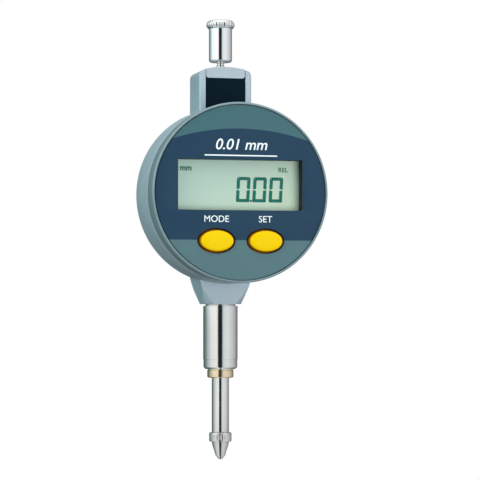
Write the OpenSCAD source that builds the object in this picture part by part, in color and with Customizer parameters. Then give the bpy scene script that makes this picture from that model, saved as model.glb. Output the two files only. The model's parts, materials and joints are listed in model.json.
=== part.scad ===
// Digital dial indicator: a round case on a clamping stem, a display head that swivels on it,
// and a spring-loaded plunger that runs through both.
// +Z runs up the plunger, the display faces -Y, and the origin is the middle of the stem.

/* [Stem and plunger] */
// Diameter of the mounting stem
stem_d = 8; // [7.6:0.1:9.6]
// Clamping length of the stem
stem_len = 15; // [12:0.5:20]
// Diameter of the spindle
spindle_d = 4; // [3.2:0.1:4.4]
// Diameter of the thin rod that carries the lifting knob
rod_d = 1.9; // [1.6:0.1:2.3]
// Measuring travel of the plunger
travel = 12.5; // [8:0.5:15]
// Diameter of the brass collar under the stem
collar_d = 6.1; // [5.6:0.1:7.4]
// Height of the brass collar under the stem
collar_h = 2; // [1.7:0.1:2.4]
// Diameter of the contact point's shoulder
contact_d = 5.2; // [4.6:0.1:6.3]
// Length of the contact point
contact_len = 6.3; // [5.3:0.1:8]
// Radius of the ball at the tip
tip_r = 0.8; // [0.6:0.1:1]
// Diameter of the lifting knob's body
knob_d = 5.4; // [4.6:0.1:6.5]
// Diameter of the lifting knob's flange
knob_flange_d = 6.6; // [6.6:0.1:8]
// Height of the lifting knob
knob_h = 9.7; // [8:0.1:11.7]

/* [Case] */
// Outer diameter of the round case and of the display head
head_d = 40.6; // [40:0.1:48.3]
// Depth of the full-diameter ring of the case
ring_depth = 12.2; // [11:0.1:14.7]
// Width of the tower and the neck
tower_w = 12.4; // [11.6:0.1:15]
// Depth of the tower, front to back
tower_depth = 9.5; // [9.5:0.1:11.4]
// Thickness of the tower's side rails
rail_w = 1.45; // [1.2:0.05:1.75]
// Height of the tapered neck between the stem and the round case
neck_h = 4.7; // [4:0.1:5.8]
// Width of the neck where it meets the stem
neck_w = 8.7; // [8.6:0.1:10.5]
// Wall of the case around its rear cavity
case_wall = 2.9; // [2.4:0.1:3.4]
// Thickness of the back cover
cover_t = 1.1; // [0.9:0.1:1.4]

/* [Display head] */
// Depth of the display head's outer ring
head_ring_depth = 5.1; // [4.8:0.1:6.1]
// Width of the screen opening
screen_w = 28.8; // [23.8:0.1:28.9]
// Height of the screen opening
screen_h = 11.4; // [9.1:0.1:11.6]
// Height of the screen's centre above the head's centre
screen_up = 1.7; // [1.4:0.1:2.1]
// Distance between the two buttons
button_pitch = 11.3; // [10.2:0.1:13.5]
// Distance of the buttons below the head's centre
button_down = 10.9; // [10.6:0.1:11.6]
// Width of a button's cap
button_w = 8.0; // [6.7:0.1:8.6]
// Height of a button's cap
button_h = 4.9; // [4.1:0.1:5.3]
// Travel of a button
button_travel = 0.6; // [0.5:0.05:0.7]
// Angle that the display can turn through
swivel_angle = 270; // [180:5:300]
// Angle to which the display turns clockwise from upright
swivel_cw = 90; // [0:5:120]

/* [Cell] */
// Diameter of the button cell
cell_d = 11.6; // [9.7:0.1:11.6]
// Thickness of the button cell
cell_t = 5.4; // [4.4:0.1:5.4]

/* [Hidden] */
$fn = 96;
far = 60;
over = 0.5;
// Running clearance of a shaft in a bore, on the radius
slide_gap = 0.03;
// Clearance between loose neighbours
gap = 0.1;
// Clearance around a button in its opening, and between curved faces that pass each other
open_gap = 0.3;
// Height of a screw's head, as a share of its radius
head_ratio = 0.55;

// Radii
stem_r = stem_d / 2;
// Radius of the stem's upper end, which is pressed into the neck
shank_r = stem_r - 0.5;
spindle_r = spindle_d / 2;
rod_r = rod_d / 2;
bush_wall = 0.7;
bush_r = spindle_r + bush_wall;
top_bush_r = rod_r + 0.9;
head_r = head_d / 2;
cavity_r = head_r - case_wall;
rear_r = head_r - 1.8;
cup_wall = 1.9;
lip_w = 0.5;
cup_r = head_r - cup_wall;
drum_r = cup_r - open_gap;
drum_wall = 0.9;
shell_r = drum_r - drum_wall;

// Heights, from the bottom up
stem_bottom = -stem_len / 2;
stem_top = stem_len / 2;
head_z = stem_top + neck_h + head_r;
bar_bottom = stem_top + neck_h + 1.4;
cavity_bottom = head_z - cavity_r;
bush_flange_h = 0.8;
buffer_h = 1;
stem_seat = cavity_bottom - 1.4;
buffer_z = stem_seat + bush_flange_h;
carrier_z = buffer_z + buffer_h + gap;
carrier_h = 5;
pin_z = carrier_z + 2.8;
collar_bottom = stem_bottom - collar_h;
contact_top = collar_bottom - travel - gap;
contact_bottom = contact_top - contact_len;
thread_r = 1.25;
shoulder_z = head_z + 10.5;
spring_wire = 0.25;
spring_turns = 11;
spring_solid = 4.1;
cap_bottom = shoulder_z + travel + spring_solid;
cap_h = 2.3;
tower_top = cap_bottom + cap_h;
knob_z = tower_top + 1.9;
scale_bottom = carrier_z + 1;
sensor_bottom = scale_bottom + travel + 0.5;
sensor_h = 11;
sensor_top = sensor_bottom + sensor_h;
scale_top = sensor_top + 1.6;

// Small screws: head radius and height, shank radius and length
small_head = 0.85;
small_head_h = small_head * head_ratio;
small_shank = 0.45;
small_len = 2.4;

// Depths, from the front to the back
tower_front = -4.9;
tower_back = tower_front + tower_depth;
ring_back = -1.6;
ring_front = ring_back - ring_depth;
face_front = ring_front - gap - head_ring_depth;
web_t = 1.4;
web_back = tower_front - 1.1;
web_front = web_back - web_t;
floor_t = 1.2;
floor_back = web_front - 0.4;
floor_front = floor_back - floor_t;
plate_t = 1;
plate_front = face_front + 0.15;
plate_back = plate_front + plate_t;
board_t = 0.8;
spacer_h = 2.4;
board_back = floor_front - spacer_h;
board_front = board_back - board_t;
screen_t = 1.8;
zebra_t = 1.5;
screen_back = board_front - zebra_t;
screen_front = screen_back - screen_t;
lens_t = 0.8;
lens_back = plate_back + lens_t;
key_t = 0.25;
key_front = board_front - key_t;
gasket_t = 0.3;
cover_front = tower_back + gasket_t;
cover_back = cover_front + cover_t;
// How far a sunk screw or plug lies below the surface around it
sink = 0.05;
channel_back = tower_back - 1.5;
panel_front = tower_front + 0.25;
panel_t = 0.6;

// Places
channel_w = tower_w - 2 * rail_w;
boss_r = 2;
cover_head = 1.45;
cover_shank = 0.8;
cover_screw_len = 5;
boss_at = cavity_r - boss_r - gap;
boss_angles = [40, 140, 220, 320];
cover_r = rear_r - 0.4;
holder_wall = 0.55;
holder_r = cell_d / 2 + open_gap * 1.8;
holder_out = holder_r + holder_wall;
cell_x = cavity_r - holder_out - 0.4;
door_r = cell_d / 2 + 1.1;
hub_r = 4;
hub_bore = 2.8;
clip_in = hub_r - 0.5;
clip_t = 0.4;
clip_front = web_back + gap;
stop_at = 12;
stop_r = 0.6;
board_r = drum_r - 1.2;
board_screw_at = board_r - 1.4;
board_screw_angles = [0, 180, 318, 222];
board_shank = 0.55;
board_head = 1;
rail_x = -7.2;
rail_t = 1.4;
guide_pin_r = 0.75;
rail_low = pin_z - 1.3;
rail_top = pin_z + travel + 2.5;
foot_low = rail_low + 4.1;
foot_high = rail_top - 0.2;
foot_t = 1;
rail_screws = [foot_low + 2.5, foot_high - 2.5];
rail_screw_x = rail_x - 1.2;
rail_screw_y = web_back + foot_t + small_head_h;
reader_x = 4.3;
reader_screw_y = tower_front + board_t + small_head_h;
reader_low = head_z - 6;
reader_high = sensor_top + 1.9;
button_x = button_pitch / 2;

// A block from its two opposite corners
module block(low, high) {
    translate(low) cube(high - low);
}

// A disc whose axis runs along Y, from y0 to y1, centred at x and z
module disc(r, y0, y1, x = 0, z = head_z) {
    translate([x, y0, z]) rotate([-90, 0, 0]) cylinder(r = r, h = y1 - y0);
}

// A ring whose axis runs along Y
module ring(outer, inner, y0, y1, x = 0, z = head_z) {
    difference() {
        disc(outer, y0, y1, x, z);
        disc(inner, y0 - over, y1 + over, x, z);
    }
}

// A tube along Z, from z0 to z1
module tube(outer, inner, z0, z1) {
    difference() {
        translate([0, 0, z0]) cylinder(r = outer, h = z1 - z0);
        translate([0, 0, z0 - over]) cylinder(r = inner, h = z1 - z0 + 2 * over);
    }
}

// An elliptical slab whose axis runs along Y
module oval(w, h, y0, y1, x, z) {
    translate([x, y0, z]) rotate([-90, 0, 0]) scale([w / 2, h / 2, 1]) cylinder(r = 1, h = y1 - y0);
}

// A countersunk screw along Y, its head's face at y, its shank towards dir
module screw_y(x, y, z, head, shank, length, dir) {
    head_h = head * head_ratio;
    slot_w = 0.35;
    translate([x, y, z]) rotate([-90 * dir, 0, 0]) difference() {
        union() {
            cylinder(r = head, h = head_h);
            cylinder(r = shank, h = length);
        }
        translate([0, 0, -over]) cylinder(r = shank * 0.6, h = over + slot_w, $fn = 6);
    }
}

// Places its children on a circle in the plane of the face
module round_face(radius, angles) {
    for (angle = angles) {
        translate([radius * cos(angle), 0, head_z + radius * sin(angle)]) children();
    }
}

// The round case: its front ring, and a rear that tapers towards the back cover
module case_outer() {
    chamfer = 0.4;
    translate([0, 0, head_z]) rotate([-90, 0, 0]) rotate_extrude()
        polygon([
            [0, ring_front], [head_r - chamfer, ring_front], [head_r, ring_front + chamfer],
            [head_r, ring_back], [rear_r, tower_back - chamfer],
            [rear_r - chamfer, tower_back], [0, tower_back]
        ]);
}

// Front outline of the tower, with round upper corners, and of the tapered neck below it
module tower_outline() {
    corner = 1.5;
    half = tower_w / 2;
    shoulder_top = tower_top - 0.4;
    waist = half - 0.75;
    waist_z = bar_bottom - 2.6;
    polygon([
        [-neck_w / 2, stem_top], [neck_w / 2, stem_top], [waist, waist_z], [half, bar_bottom],
        [half, shoulder_top - corner], [-half, shoulder_top - corner], [-half, bar_bottom], [-waist, waist_z]
    ]);
    translate([-half + corner, shoulder_top - corner]) circle(r = corner);
    translate([half - corner, shoulder_top - corner]) circle(r = corner);
    translate([-half + corner, shoulder_top - corner - over]) square([tower_w - 2 * corner, corner + over]);
}

// What a cone takes off the neck's corners: round at the stem, wider than the tower at its top
module neck_corners() {
    low_r = stem_r + 0.9;
    high_r = norm([tower_w / 2, tower_front]) + 0.6;
    rise = bar_bottom - stem_top;
    difference() {
        translate([0, 0, stem_top - over]) cylinder(r = far, h = rise + over);
        translate([0, 0, stem_top]) cylinder(r1 = low_r, r2 = high_r, h = rise);
        translate([0, 0, stem_top - far]) cylinder(r = low_r, h = far);
        translate([0, 0, bar_bottom - over]) cylinder(r = high_r, h = far);
    }
}

// The tower and the neck, cut to the depth of the tower and eased in front and behind at the neck
module tower_outer() {
    ease = 0.6;
    bevel = 0.55;
    difference() {
        translate([0, tower_back, 0]) rotate([90, 0, 0]) linear_extrude(tower_depth) tower_outline();
        for (side = [-1, 1]) translate([side * tower_w / 2, tower_front, bar_bottom]) rotate([0, 0, 45])
            translate([-bevel / 2, -bevel / 2, 0]) cube([bevel, bevel, far]);
        translate([-far / 2, 0, 0]) rotate([90, 0, 90]) linear_extrude(far)
            for (side = [-1, 1]) let (face = side < 0 ? tower_front : tower_back) polygon([
                [face + side * over, stem_top - over], [face - side * ease, stem_top - over],
                [face - side * ease, stem_top], [face, bar_bottom], [face + side * over, bar_bottom]
            ]);
        neck_corners();
    }
}

// Holes in the case for the four cover screws and the bosses around them
module cover_bosses() {
    difference() {
        round_face(boss_at, boss_angles) disc(boss_r, web_back - over, tower_back, 0, 0);
        round_face(boss_at, boss_angles)
            disc(cover_shank, cover_back - cover_screw_len - 3 * gap, tower_back + over, 0, 0);
    }
}

module housing() {
    shoulder_flat = 18.3;
    shoulder_w = 9.4;
    seal_groove = 0.8;
    color([0.57, 0.66, 0.70]) difference() {
        union() {
            difference() {
                union() {
                    case_outer();
                    tower_outer();
                }
                disc(cup_r, ring_front - over, web_front);
                disc(cavity_r, web_back, tower_back + over);
                block([-channel_w / 2, panel_front + panel_t, head_z],
                      [channel_w / 2, channel_back, tower_top + over]);
                difference() {
                    block([-channel_w / 2, tower_front - over, head_z],
                          [channel_w / 2, channel_back, tower_top + over]);
                    disc(head_r, ring_front, tower_back);
                }
            }
            cover_bosses();
            for (z = [reader_low, reader_high], side = [-1, 1])
                disc(1.2, web_back - over, tower_front, side * reader_x, z);
        }
        disc(hub_r + 0.05, web_front - over, web_back + over);
        disc(stop_r, web_front - over, web_front + 0.9, 0, head_z - stop_at);
        translate([0, 0, stem_top - over]) cylinder(r = shank_r, h = cavity_bottom + 1 - stem_top + over);
        for (side = [-1, 1])
            translate([side * (tower_w + shoulder_w) / 2, 0, 0])
                block([-shoulder_w / 2, tower_front, head_z + shoulder_flat],
                      [shoulder_w / 2, tower_back + over, head_z + far]);
        for (z = [reader_low, reader_high], side = [-1, 1])
            disc(small_shank, reader_screw_y - small_len - gap, tower_front + over, side * reader_x, z);
        for (z = rail_screws)
            disc(small_shank, rail_screw_y - small_len - gap, web_back + over, rail_screw_x, z);
        ring(cup_r + seal_groove, cup_r - over, ring_front + 1.6, ring_front + 2.6);
    }
}

// Dark cover strip that closes the front of the tower
module tower_panel() {
    side_gap = 0.05;
    color([0.02, 0.10, 0.14]) difference() {
        block([-channel_w / 2 + side_gap, panel_front, head_z + head_r - 0.7],
              [channel_w / 2 - side_gap, panel_front + panel_t, cap_bottom - side_gap]);
        disc(head_r + side_gap, ring_front, tower_back);
    }
}

// Front outline of the cap: an arched top and round lower corners
module cap_outline(half) {
    arch = 0.5;
    arch_r = (half * half + arch * arch) / (2 * arch);
    corner = 0.7;
    intersection() {
        translate([0, tower_top - 0.2 + arch - arch_r]) circle(r = arch_r);
        union() {
            translate([-half, cap_bottom + corner]) square([2 * half, cap_h]);
            translate([-half + corner, cap_bottom]) square([2 * (half - corner), cap_h]);
            for (side = [-1, 1]) translate([side * (half - corner), cap_bottom + corner]) circle(r = corner);
        }
    }
}

// Arched plug that closes the top of the tower and carries the upper bush
module top_cap() {
    side_gap = 0.15;
    color([0.70, 0.77, 0.80]) difference() {
        translate([0, channel_back - gap, 0]) rotate([90, 0, 0])
            linear_extrude(channel_back - gap - tower_front) cap_outline(channel_w / 2 - side_gap);
        translate([0, 0, cap_bottom - over]) cylinder(r = top_bush_r, h = cap_h + 2 * over);
    }
}

module top_bush() {
    color([0.80, 0.68, 0.42]) tube(top_bush_r, rod_r + slide_gap, cap_bottom, tower_top - 0.05);
}

module stem() {
    chamfer = 0.4;
    color([0.86, 0.88, 0.89]) rotate_extrude()
        polygon([
            [bush_r, stem_bottom], [stem_r - chamfer, stem_bottom], [stem_r, stem_bottom + chamfer],
            [stem_r, stem_top - chamfer], [shank_r, stem_top - chamfer], [shank_r, stem_seat],
            [bush_r, stem_seat]
        ]);
}

module stem_inner_bush() {
    length = 5.5;
    color([0.80, 0.68, 0.42]) difference() {
        union() {
            translate([0, 0, stem_seat - length]) cylinder(r = bush_r, h = length);
            translate([0, 0, stem_seat]) cylinder(r = shank_r - gap, h = bush_flange_h);
        }
        translate([0, 0, stem_seat - length - over])
            cylinder(r = spindle_r + slide_gap, h = length + bush_flange_h + 2 * over);
    }
}

module stem_collar() {
    sleeve = 5;
    color([0.87, 0.80, 0.62]) difference() {
        union() {
            translate([0, 0, collar_bottom]) rotate_extrude()
                polygon([
                    [0, 0], [collar_d / 2 - 0.2, 0], [collar_d / 2, 0.2],
                    [collar_d / 2, collar_h - 0.2], [collar_d / 2 - 0.2, collar_h], [0, collar_h]
                ]);
            translate([0, 0, stem_bottom]) cylinder(r = bush_r, h = sleeve);
        }
        translate([0, 0, collar_bottom - over])
            cylinder(r = spindle_r + slide_gap, h = collar_h + sleeve + 2 * over);
    }
}

module buffer_washer() {
    color([0.12, 0.12, 0.12]) tube(shank_r - gap, spindle_r + open_gap, buffer_z, buffer_z + buffer_h);
}

// Points of a helix of one spring, with flat end turns
function coil_point(t, radius, turns, low, high) =
    [radius * cos(360 * turns * t), radius * sin(360 * turns * t), low + (high - low) * t];

module return_spring() {
    radius = 1.6;
    sides = 6;
    steps = 16;
    low = shoulder_z + spring_wire;
    high = cap_bottom - spring_wire;
    count = spring_turns * steps;
    points = [for (i = [0:count], s = [0:sides - 1])
        coil_point(i / count, radius + spring_wire / 2 * cos(360 * s / sides), spring_turns, low, high)
        + [0, 0, spring_wire / 2 * sin(360 * s / sides)]];
    walls = [for (i = [0:count - 1], s = [0:sides - 1])
        [i * sides + s, i * sides + (s + 1) % sides,
         (i + 1) * sides + (s + 1) % sides, (i + 1) * sides + s]];
    ends = [[for (s = [sides - 1:-1:0]) s], [for (s = [0:sides - 1]) count * sides + s]];
    color([0.55, 0.57, 0.60]) polyhedron(points, concat(walls, ends), convexity = 10);
}

// Slotted rail that keeps the plunger from turning
module guide_rail() {
    slot_w = guide_pin_r + slide_gap;
    foot_w = 2.1;
    rail_back = guide_pin_r + 0.85;
    color([0.72, 0.74, 0.76]) difference() {
        union() {
            block([rail_x, web_back, rail_low], [rail_x + rail_t, rail_back, rail_top]);
            block([rail_x - foot_w, web_back, foot_low], [rail_x, web_back + foot_t, foot_high]);
        }
        for (z = [pin_z, pin_z + travel]) translate([rail_x - over, 0, z]) rotate([0, 90, 0])
            cylinder(r = slot_w, h = rail_t + 2 * over);
        block([rail_x - over, -slot_w, pin_z], [rail_x + rail_t + over, slot_w, pin_z + travel]);
        for (z = rail_screws) disc(small_shank, web_back - over, web_back + foot_t + over, rail_screw_x, z);
    }
}

module guide_rail_screws() {
    color("silver") for (z = rail_screws)
        screw_y(rail_screw_x, rail_screw_y, z, small_head, small_shank, small_len, -1);
}

module reader_board() {
    half = reader_x + 1.1;
    color([0.10, 0.42, 0.25]) difference() {
        block([-half, tower_front, reader_low - 1.2], [half, tower_front + board_t, reader_high + 1.2]);
        for (z = [reader_low, reader_high], side = [-1, 1])
            disc(small_shank, tower_front - over, tower_front + board_t + over, side * reader_x, z);
    }
}

module reader_sensor() {
    color([0.08, 0.08, 0.09]) block([-2.2, tower_front + board_t, sensor_bottom],
                                    [2.2, tower_front + board_t + 0.35, sensor_top]);
}

module reader_screws() {
    color("silver") for (z = [reader_low, reader_high], side = [-1, 1])
        screw_y(side * reader_x, reader_screw_y, z, small_head, small_shank, small_len, -1);
}

// Round pocket that holds the cell behind the battery door
module battery_holder() {
    floor_y = -3.9;
    floor_h = 0.6;
    leg_r = 0.9;
    color([0.13, 0.13, 0.14]) difference() {
        union() {
            disc(holder_out, floor_y, tower_back, cell_x);
            for (z = [-3.2, 3.2]) disc(leg_r, web_back, floor_y + over, cell_x + 3, head_z + z);
        }
        disc(holder_r, floor_y + floor_h, tower_back + over, cell_x);
    }
}

module battery_cell() {
    front = tower_back - 0.9 - cell_t;
    edge = 0.3;
    color([0.80, 0.81, 0.82]) translate([cell_x, front, head_z]) rotate([-90, 0, 0]) rotate_extrude()
        polygon([
            [0, 0], [cell_d / 2 - 1, 0], [cell_d / 2 - 1, edge], [cell_d / 2 - edge, edge],
            [cell_d / 2, 2 * edge], [cell_d / 2, cell_t - edge], [cell_d / 2 - edge, cell_t], [0, cell_t]
        ]);
}

// Centre contact under the cell and the leaf at its side
module battery_contacts() {
    plate_y = -3.3;
    cell_front = tower_back - 0.9 - cell_t;
    leaf_t = 0.25;
    color([0.83, 0.72, 0.40]) {
        difference() {
            disc(3.4, plate_y, cell_front, cell_x);
            disc(3.1, plate_y + leaf_t, cell_front - leaf_t, cell_x);
            disc(1.2, plate_y - over, cell_front - leaf_t, cell_x);
        }
        translate([cell_x, 0, head_z + cell_d / 2 + 0.05])
            block([-1.5, plate_y, 0], [1.5, tower_back - 2, leaf_t]);
    }
}

module back_gasket() {
    color([0.10, 0.10, 0.11]) ring(cover_r - gap, cavity_r + sink, tower_back, cover_front);
}

module back_cover() {
    edge = 0.35;
    color([0.55, 0.63, 0.67]) difference() {
        translate([0, 0, head_z]) rotate([-90, 0, 0]) rotate_extrude()
            polygon([
                [0, cover_front], [cover_r, cover_front], [cover_r, cover_back - edge],
                [cover_r - edge, cover_back], [0, cover_back]
            ]);
        disc(door_r + 0.05, cover_front - over, cover_back + over, cell_x);
        round_face(boss_at, boss_angles) disc(cover_shank, cover_front - over, cover_back + over, 0, 0);
        round_face(boss_at, boss_angles)
            disc(cover_head + gap / 2, cover_back - sink - cover_head * head_ratio, cover_back + over, 0, 0);
    }
}

module back_cover_screws() {
    color("silver") round_face(boss_at, boss_angles)
        screw_y(0, cover_back - sink, 0, cover_head, cover_shank, cover_screw_len, -1);
}

// Round door with a coin slot
module battery_door() {
    slot_w = 1.4;
    slot_deep = 0.6;
    color([0.16, 0.18, 0.20]) difference() {
        union() {
            disc(door_r, cover_front, cover_back, cell_x);
            disc(holder_r - 0.05, tower_back - 0.8, cover_front + over, cell_x);
        }
        block([cell_x - 4.6, cover_back - slot_deep, head_z - slot_w / 2],
              [cell_x + 4.6, cover_back + over, head_z + slot_w / 2]);
    }
}

// Pin in the case that stops the display at the ends of its arc groove
module stop_pin() {
    color("silver") disc(stop_r, web_front - 1, web_front + 0.9, 0, head_z - stop_at);
}

module friction_washer() {
    color([0.62, 0.64, 0.66]) ring(7, hub_r + 0.4, web_front - 0.35, web_front);
}

module head_seal() {
    seal_r = 0.45;
    color([0.09, 0.09, 0.10]) translate([0, 0, head_z]) rotate([-90, 0, 0]) rotate_extrude()
        translate([drum_r + 0.1 + seal_r, ring_front + 2.1]) circle(r = seal_r, $fn = 32);
}

// Ribbon that joins the two boards through the hollow hub
module link_flex() {
    color([0.72, 0.45, 0.12]) block([-1.4, board_back + 0.3, head_z - 0.06],
                                    [1.4, tower_front, head_z + 0.06]);
}

module spindle() {
    color([0.90, 0.91, 0.92]) difference() {
        translate([0, 0, contact_top]) cylinder(r = spindle_r, h = shoulder_z - contact_top);
        translate([0, 0, contact_top - over]) cylinder(r = thread_r, h = 4 + over);
        translate([0, 0, shoulder_z - 3]) cylinder(r = rod_r, h = 3 + over);
    }
}

module knob_rod() {
    color([0.88, 0.89, 0.90]) translate([0, 0, shoulder_z - 3])
        cylinder(r = rod_r, h = knob_z + knob_h - 1.5 - shoulder_z + 3);
}

module lifting_knob() {
    rim_r = 1.05;
    edge = 0.25;
    body_r = knob_d / 2;
    rim_at = knob_flange_d / 2 - rim_r;
    color([0.84, 0.86, 0.88]) difference() {
        translate([0, 0, knob_z]) rotate_extrude() {
            polygon([
                [0, 0], [body_r - edge, 0], [body_r, edge], [body_r, knob_h - rim_r],
                [rim_at, knob_h - rim_r], [rim_at, knob_h], [0, knob_h]
            ]);
            translate([rim_at, knob_h - rim_r]) circle(r = rim_r);
        }
        translate([0, 0, knob_z - over]) cylinder(r = rod_r, h = knob_h - 1.5 + over);
    }
}

// Contact point: shoulder, stepped cone with the ball's socket, and a stud in the spindle
module contact_body() {
    contact_r = contact_d / 2;
    shoulder_h = 2.2;
    edge = 0.4;
    step_r = contact_r - 0.55;
    low_r = tip_r + 0.25;
    bare = 0.55;
    stud_h = 3.5;
    color([0.68, 0.70, 0.72]) difference() {
        translate([0, 0, contact_top]) union() {
            rotate_extrude()
                polygon([
                    [0, 0], [contact_r - edge, 0], [contact_r, -edge], [contact_r, -shoulder_h + edge],
                    [contact_r - edge, -shoulder_h], [step_r, -shoulder_h],
                    [low_r, -contact_len + bare], [0, -contact_len + bare]
                ]);
            cylinder(r = thread_r, h = stud_h);
        }
        translate([0, 0, contact_bottom + tip_r]) sphere(r = tip_r);
    }
}

module contact_ball() {
    color([0.78, 0.79, 0.80]) translate([0, 0, contact_bottom + tip_r]) sphere(r = tip_r);
}

module scale_carrier() {
    color([0.35, 0.37, 0.40]) difference() {
        block([-3, -2.9, carrier_z], [2.4, 2.4, carrier_z + carrier_h]);
        translate([0, 0, carrier_z - over]) cylinder(r = spindle_r, h = carrier_h + 2 * over);
        disc(0.5, spindle_r - over, 4, 0, carrier_z + 2.5);
        translate([-4, 0, pin_z]) rotate([0, 90, 0]) cylinder(r = guide_pin_r, h = 4 - spindle_r);
    }
}

module carrier_screw() {
    color("silver") disc(0.5, spindle_r, 2.4, 0, carrier_z + 2.5);
}

module guide_pin() {
    color("silver") translate([rail_x - 0.3, 0, pin_z]) rotate([0, 90, 0])
        cylinder(r = guide_pin_r, h = -spindle_r - rail_x + 0.3);
}

module scale_strip() {
    color([0.78, 0.62, 0.25]) block([-2.2, -3.4, scale_bottom], [2.2, -2.9, scale_top]);
}

// Swivelling shell: outer ring, drum that runs in the case, and the hollow hub
module head_shell() {
    edge = 0.3;
    ring_rear = ring_front - gap;
    groove_r = stop_r + 0.15;
    color([0.43, 0.53, 0.56]) difference() {
        translate([0, 0, head_z]) rotate([-90, 0, 0]) rotate_extrude()
            polygon([
                [hub_bore, floor_front], [shell_r, floor_front],
                [shell_r, plate_back],
                [head_r - lip_w, plate_back], [head_r - lip_w, face_front], [head_r - edge, face_front],
                [head_r, face_front + edge], [head_r, ring_rear], [drum_r, ring_rear],
                [drum_r, floor_back], [hub_r, floor_back], [hub_r, web_back + 0.8],
                [hub_bore, web_back + 0.8]
            ]);
        translate([0, 0, head_z]) rotate([-90, 0, 0]) translate([0, 0, floor_back - 0.8])
            rotate([0, 0, 90 - swivel_cw]) rotate_extrude(angle = swivel_angle)
                translate([stop_at - groove_r, 0]) square([2 * groove_r, 0.8 + over]);
        for (turn = [-swivel_cw, swivel_angle - swivel_cw])
            translate([0, 0, head_z]) rotate([0, turn, 0])
                disc(groove_r, floor_back - 0.8, floor_back + over, 0, -stop_at);
        ring(hub_r + over, clip_in, clip_front, clip_front + clip_t);
    }
}

// Clip on the hub that holds the head against the case
module hub_retainer() {
    color([0.45, 0.46, 0.48]) ring(hub_r + 1.1, clip_in, clip_front, clip_front + clip_t);
}

module face_plate() {
    plate_r = head_r - lip_w - 0.2;
    color([0.31, 0.47, 0.50]) difference() {
        disc(plate_r, plate_front, plate_back);
        block([-screen_w / 2, plate_front - over, head_z + screen_up - screen_h / 2],
              [screen_w / 2, plate_back + over, head_z + screen_up + screen_h / 2]);
        for (side = [-1, 1])
            oval(button_w + 2 * open_gap, button_h + 2 * open_gap, plate_front - over, plate_back + over,
                 side * button_x, head_z - button_down);
    }
}

// Keeps what lies inside the display's shell
module inside_shell() {
    intersection() {
        disc(shell_r - gap / 2, face_front, floor_front);
        children();
    }
}

module lens() {
    lap = 0.8;
    color([0.80, 0.88, 0.88, 0.4]) inside_shell()
        block([-screen_w / 2 - lap, plate_back, head_z + screen_up - screen_h / 2 - lap],
              [screen_w / 2 + lap, lens_back, head_z + screen_up + screen_h / 2 + lap]);
}

// Light-tight frame between the lens and the panel, which also holds the panel
module screen_frame() {
    wall = 0.9;
    panel_fit = 0.6;
    low = head_z + screen_up - screen_h / 2;
    high = head_z + screen_up + screen_h / 2;
    color([0.10, 0.16, 0.18]) inside_shell() difference() {
        block([-screen_w / 2 - wall, lens_back, low - wall], [screen_w / 2 + wall, screen_back, high + wall]);
        block([-screen_w / 2, lens_back - over, low], [screen_w / 2, screen_back + over, high]);
        block([-screen_w / 2 - panel_fit, screen_front, low - panel_fit],
              [screen_w / 2 + panel_fit, screen_back + over, high + panel_fit]);
    }
}

module screen_panel() {
    lap = 0.55;
    color([0.70, 0.81, 0.74]) inside_shell()
        block([-screen_w / 2 - lap, screen_front, head_z + screen_up - screen_h / 2 - lap],
              [screen_w / 2 + lap, screen_back, head_z + screen_up + screen_h / 2 + lap]);
}

// Two rubber strips that carry the signals from the board to the panel
module zebra_strips() {
    strip_h = 1.5;
    half = screen_w / 2 - 2;
    middle = head_z + screen_up;
    color([0.75, 0.35, 0.35]) for (side = [-1, 1]) translate([0, 0, middle + side * (screen_h / 2 - 1)])
        block([-half, screen_back, -strip_h / 2], [half, board_front, strip_h / 2]);
}

module main_board() {
    color([0.08, 0.38, 0.22]) difference() {
        disc(board_r, board_front, board_back);
        round_face(board_screw_at, board_screw_angles)
            disc(board_shank, board_front - over, board_back + over, 0, 0);
    }
}

module board_chips() {
    chip_t = 1;
    chips = [[0, 0.67, 7, 6], [0.66, 0, 3.5, 5.5], [-0.66, 0, 2.8, 8]];
    color([0.07, 0.07, 0.08]) for (chip = chips)
        translate([chip[0] * board_r, board_back, head_z + chip[1] * board_r])
            block([-chip[2] / 2, 0, -chip[3] / 2], [chip[2] / 2, chip_t, chip[3] / 2]);
}

module key_domes() {
    color([0.75, 0.72, 0.60]) for (side = [-1, 1])
        disc(2.2, key_front, board_front, side * button_x, head_z - button_down);
}

module board_screws() {
    color("silver") round_face(board_screw_at, board_screw_angles) {
        screw_y(0, board_front - board_head * head_ratio, 0, board_head, board_shank,
                board_head * head_ratio + board_t + spacer_h - gap / 2, 1);
        ring(board_head + 0.3, board_shank, board_back, floor_front, 0, 0);
    }
}

// Flat ribbon wound around the hub, which unwinds as the head turns
module coiled_flex() {
    inner = hub_bore + 0.6;
    pitch = 0.9;
    turns = 3;
    outer = inner + (turns - 1) * pitch;
    ribbon_t = 0.12;
    lift = 0.4;
    color([0.72, 0.45, 0.12]) {
        for (r = [inner:pitch:outer + gap]) ring(r + ribbon_t, r, board_back + lift, floor_front - lift / 2);
        block([inner, board_back, head_z - lift], [outer, board_back + lift + gap, head_z + lift]);
    }
}

// One push-button: a domed cap over an amber skirt, with a stem that reaches the board's key
module push_button(side) {
    x = side * button_x;
    z = head_z - button_down;
    cap_front = face_front - 0.85;
    skirt_front = plate_front - 0.15;
    flange_t = 0.5;
    key_gap = 0.1;
    color([0.95, 0.78, 0.10]) union() {
        translate([x, cap_front, z]) rotate([-90, 0, 0]) scale([button_w / 2, button_h / 2, 1])
            cylinder(r1 = 0.84, r2 = 1, h = skirt_front - cap_front);
        oval(button_w, button_h, skirt_front, plate_back + button_travel + gap, x, z);
        oval(button_w + 1, button_h + 1, plate_back + gap, plate_back + gap + flange_t, x, z);
        disc(1.6, plate_back + gap + flange_t - over, key_front - button_travel - key_gap, x, z);
    }
}

module mode_button() {
    push_button(-1);
}

module set_button() {
    push_button(1);
}

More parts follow.
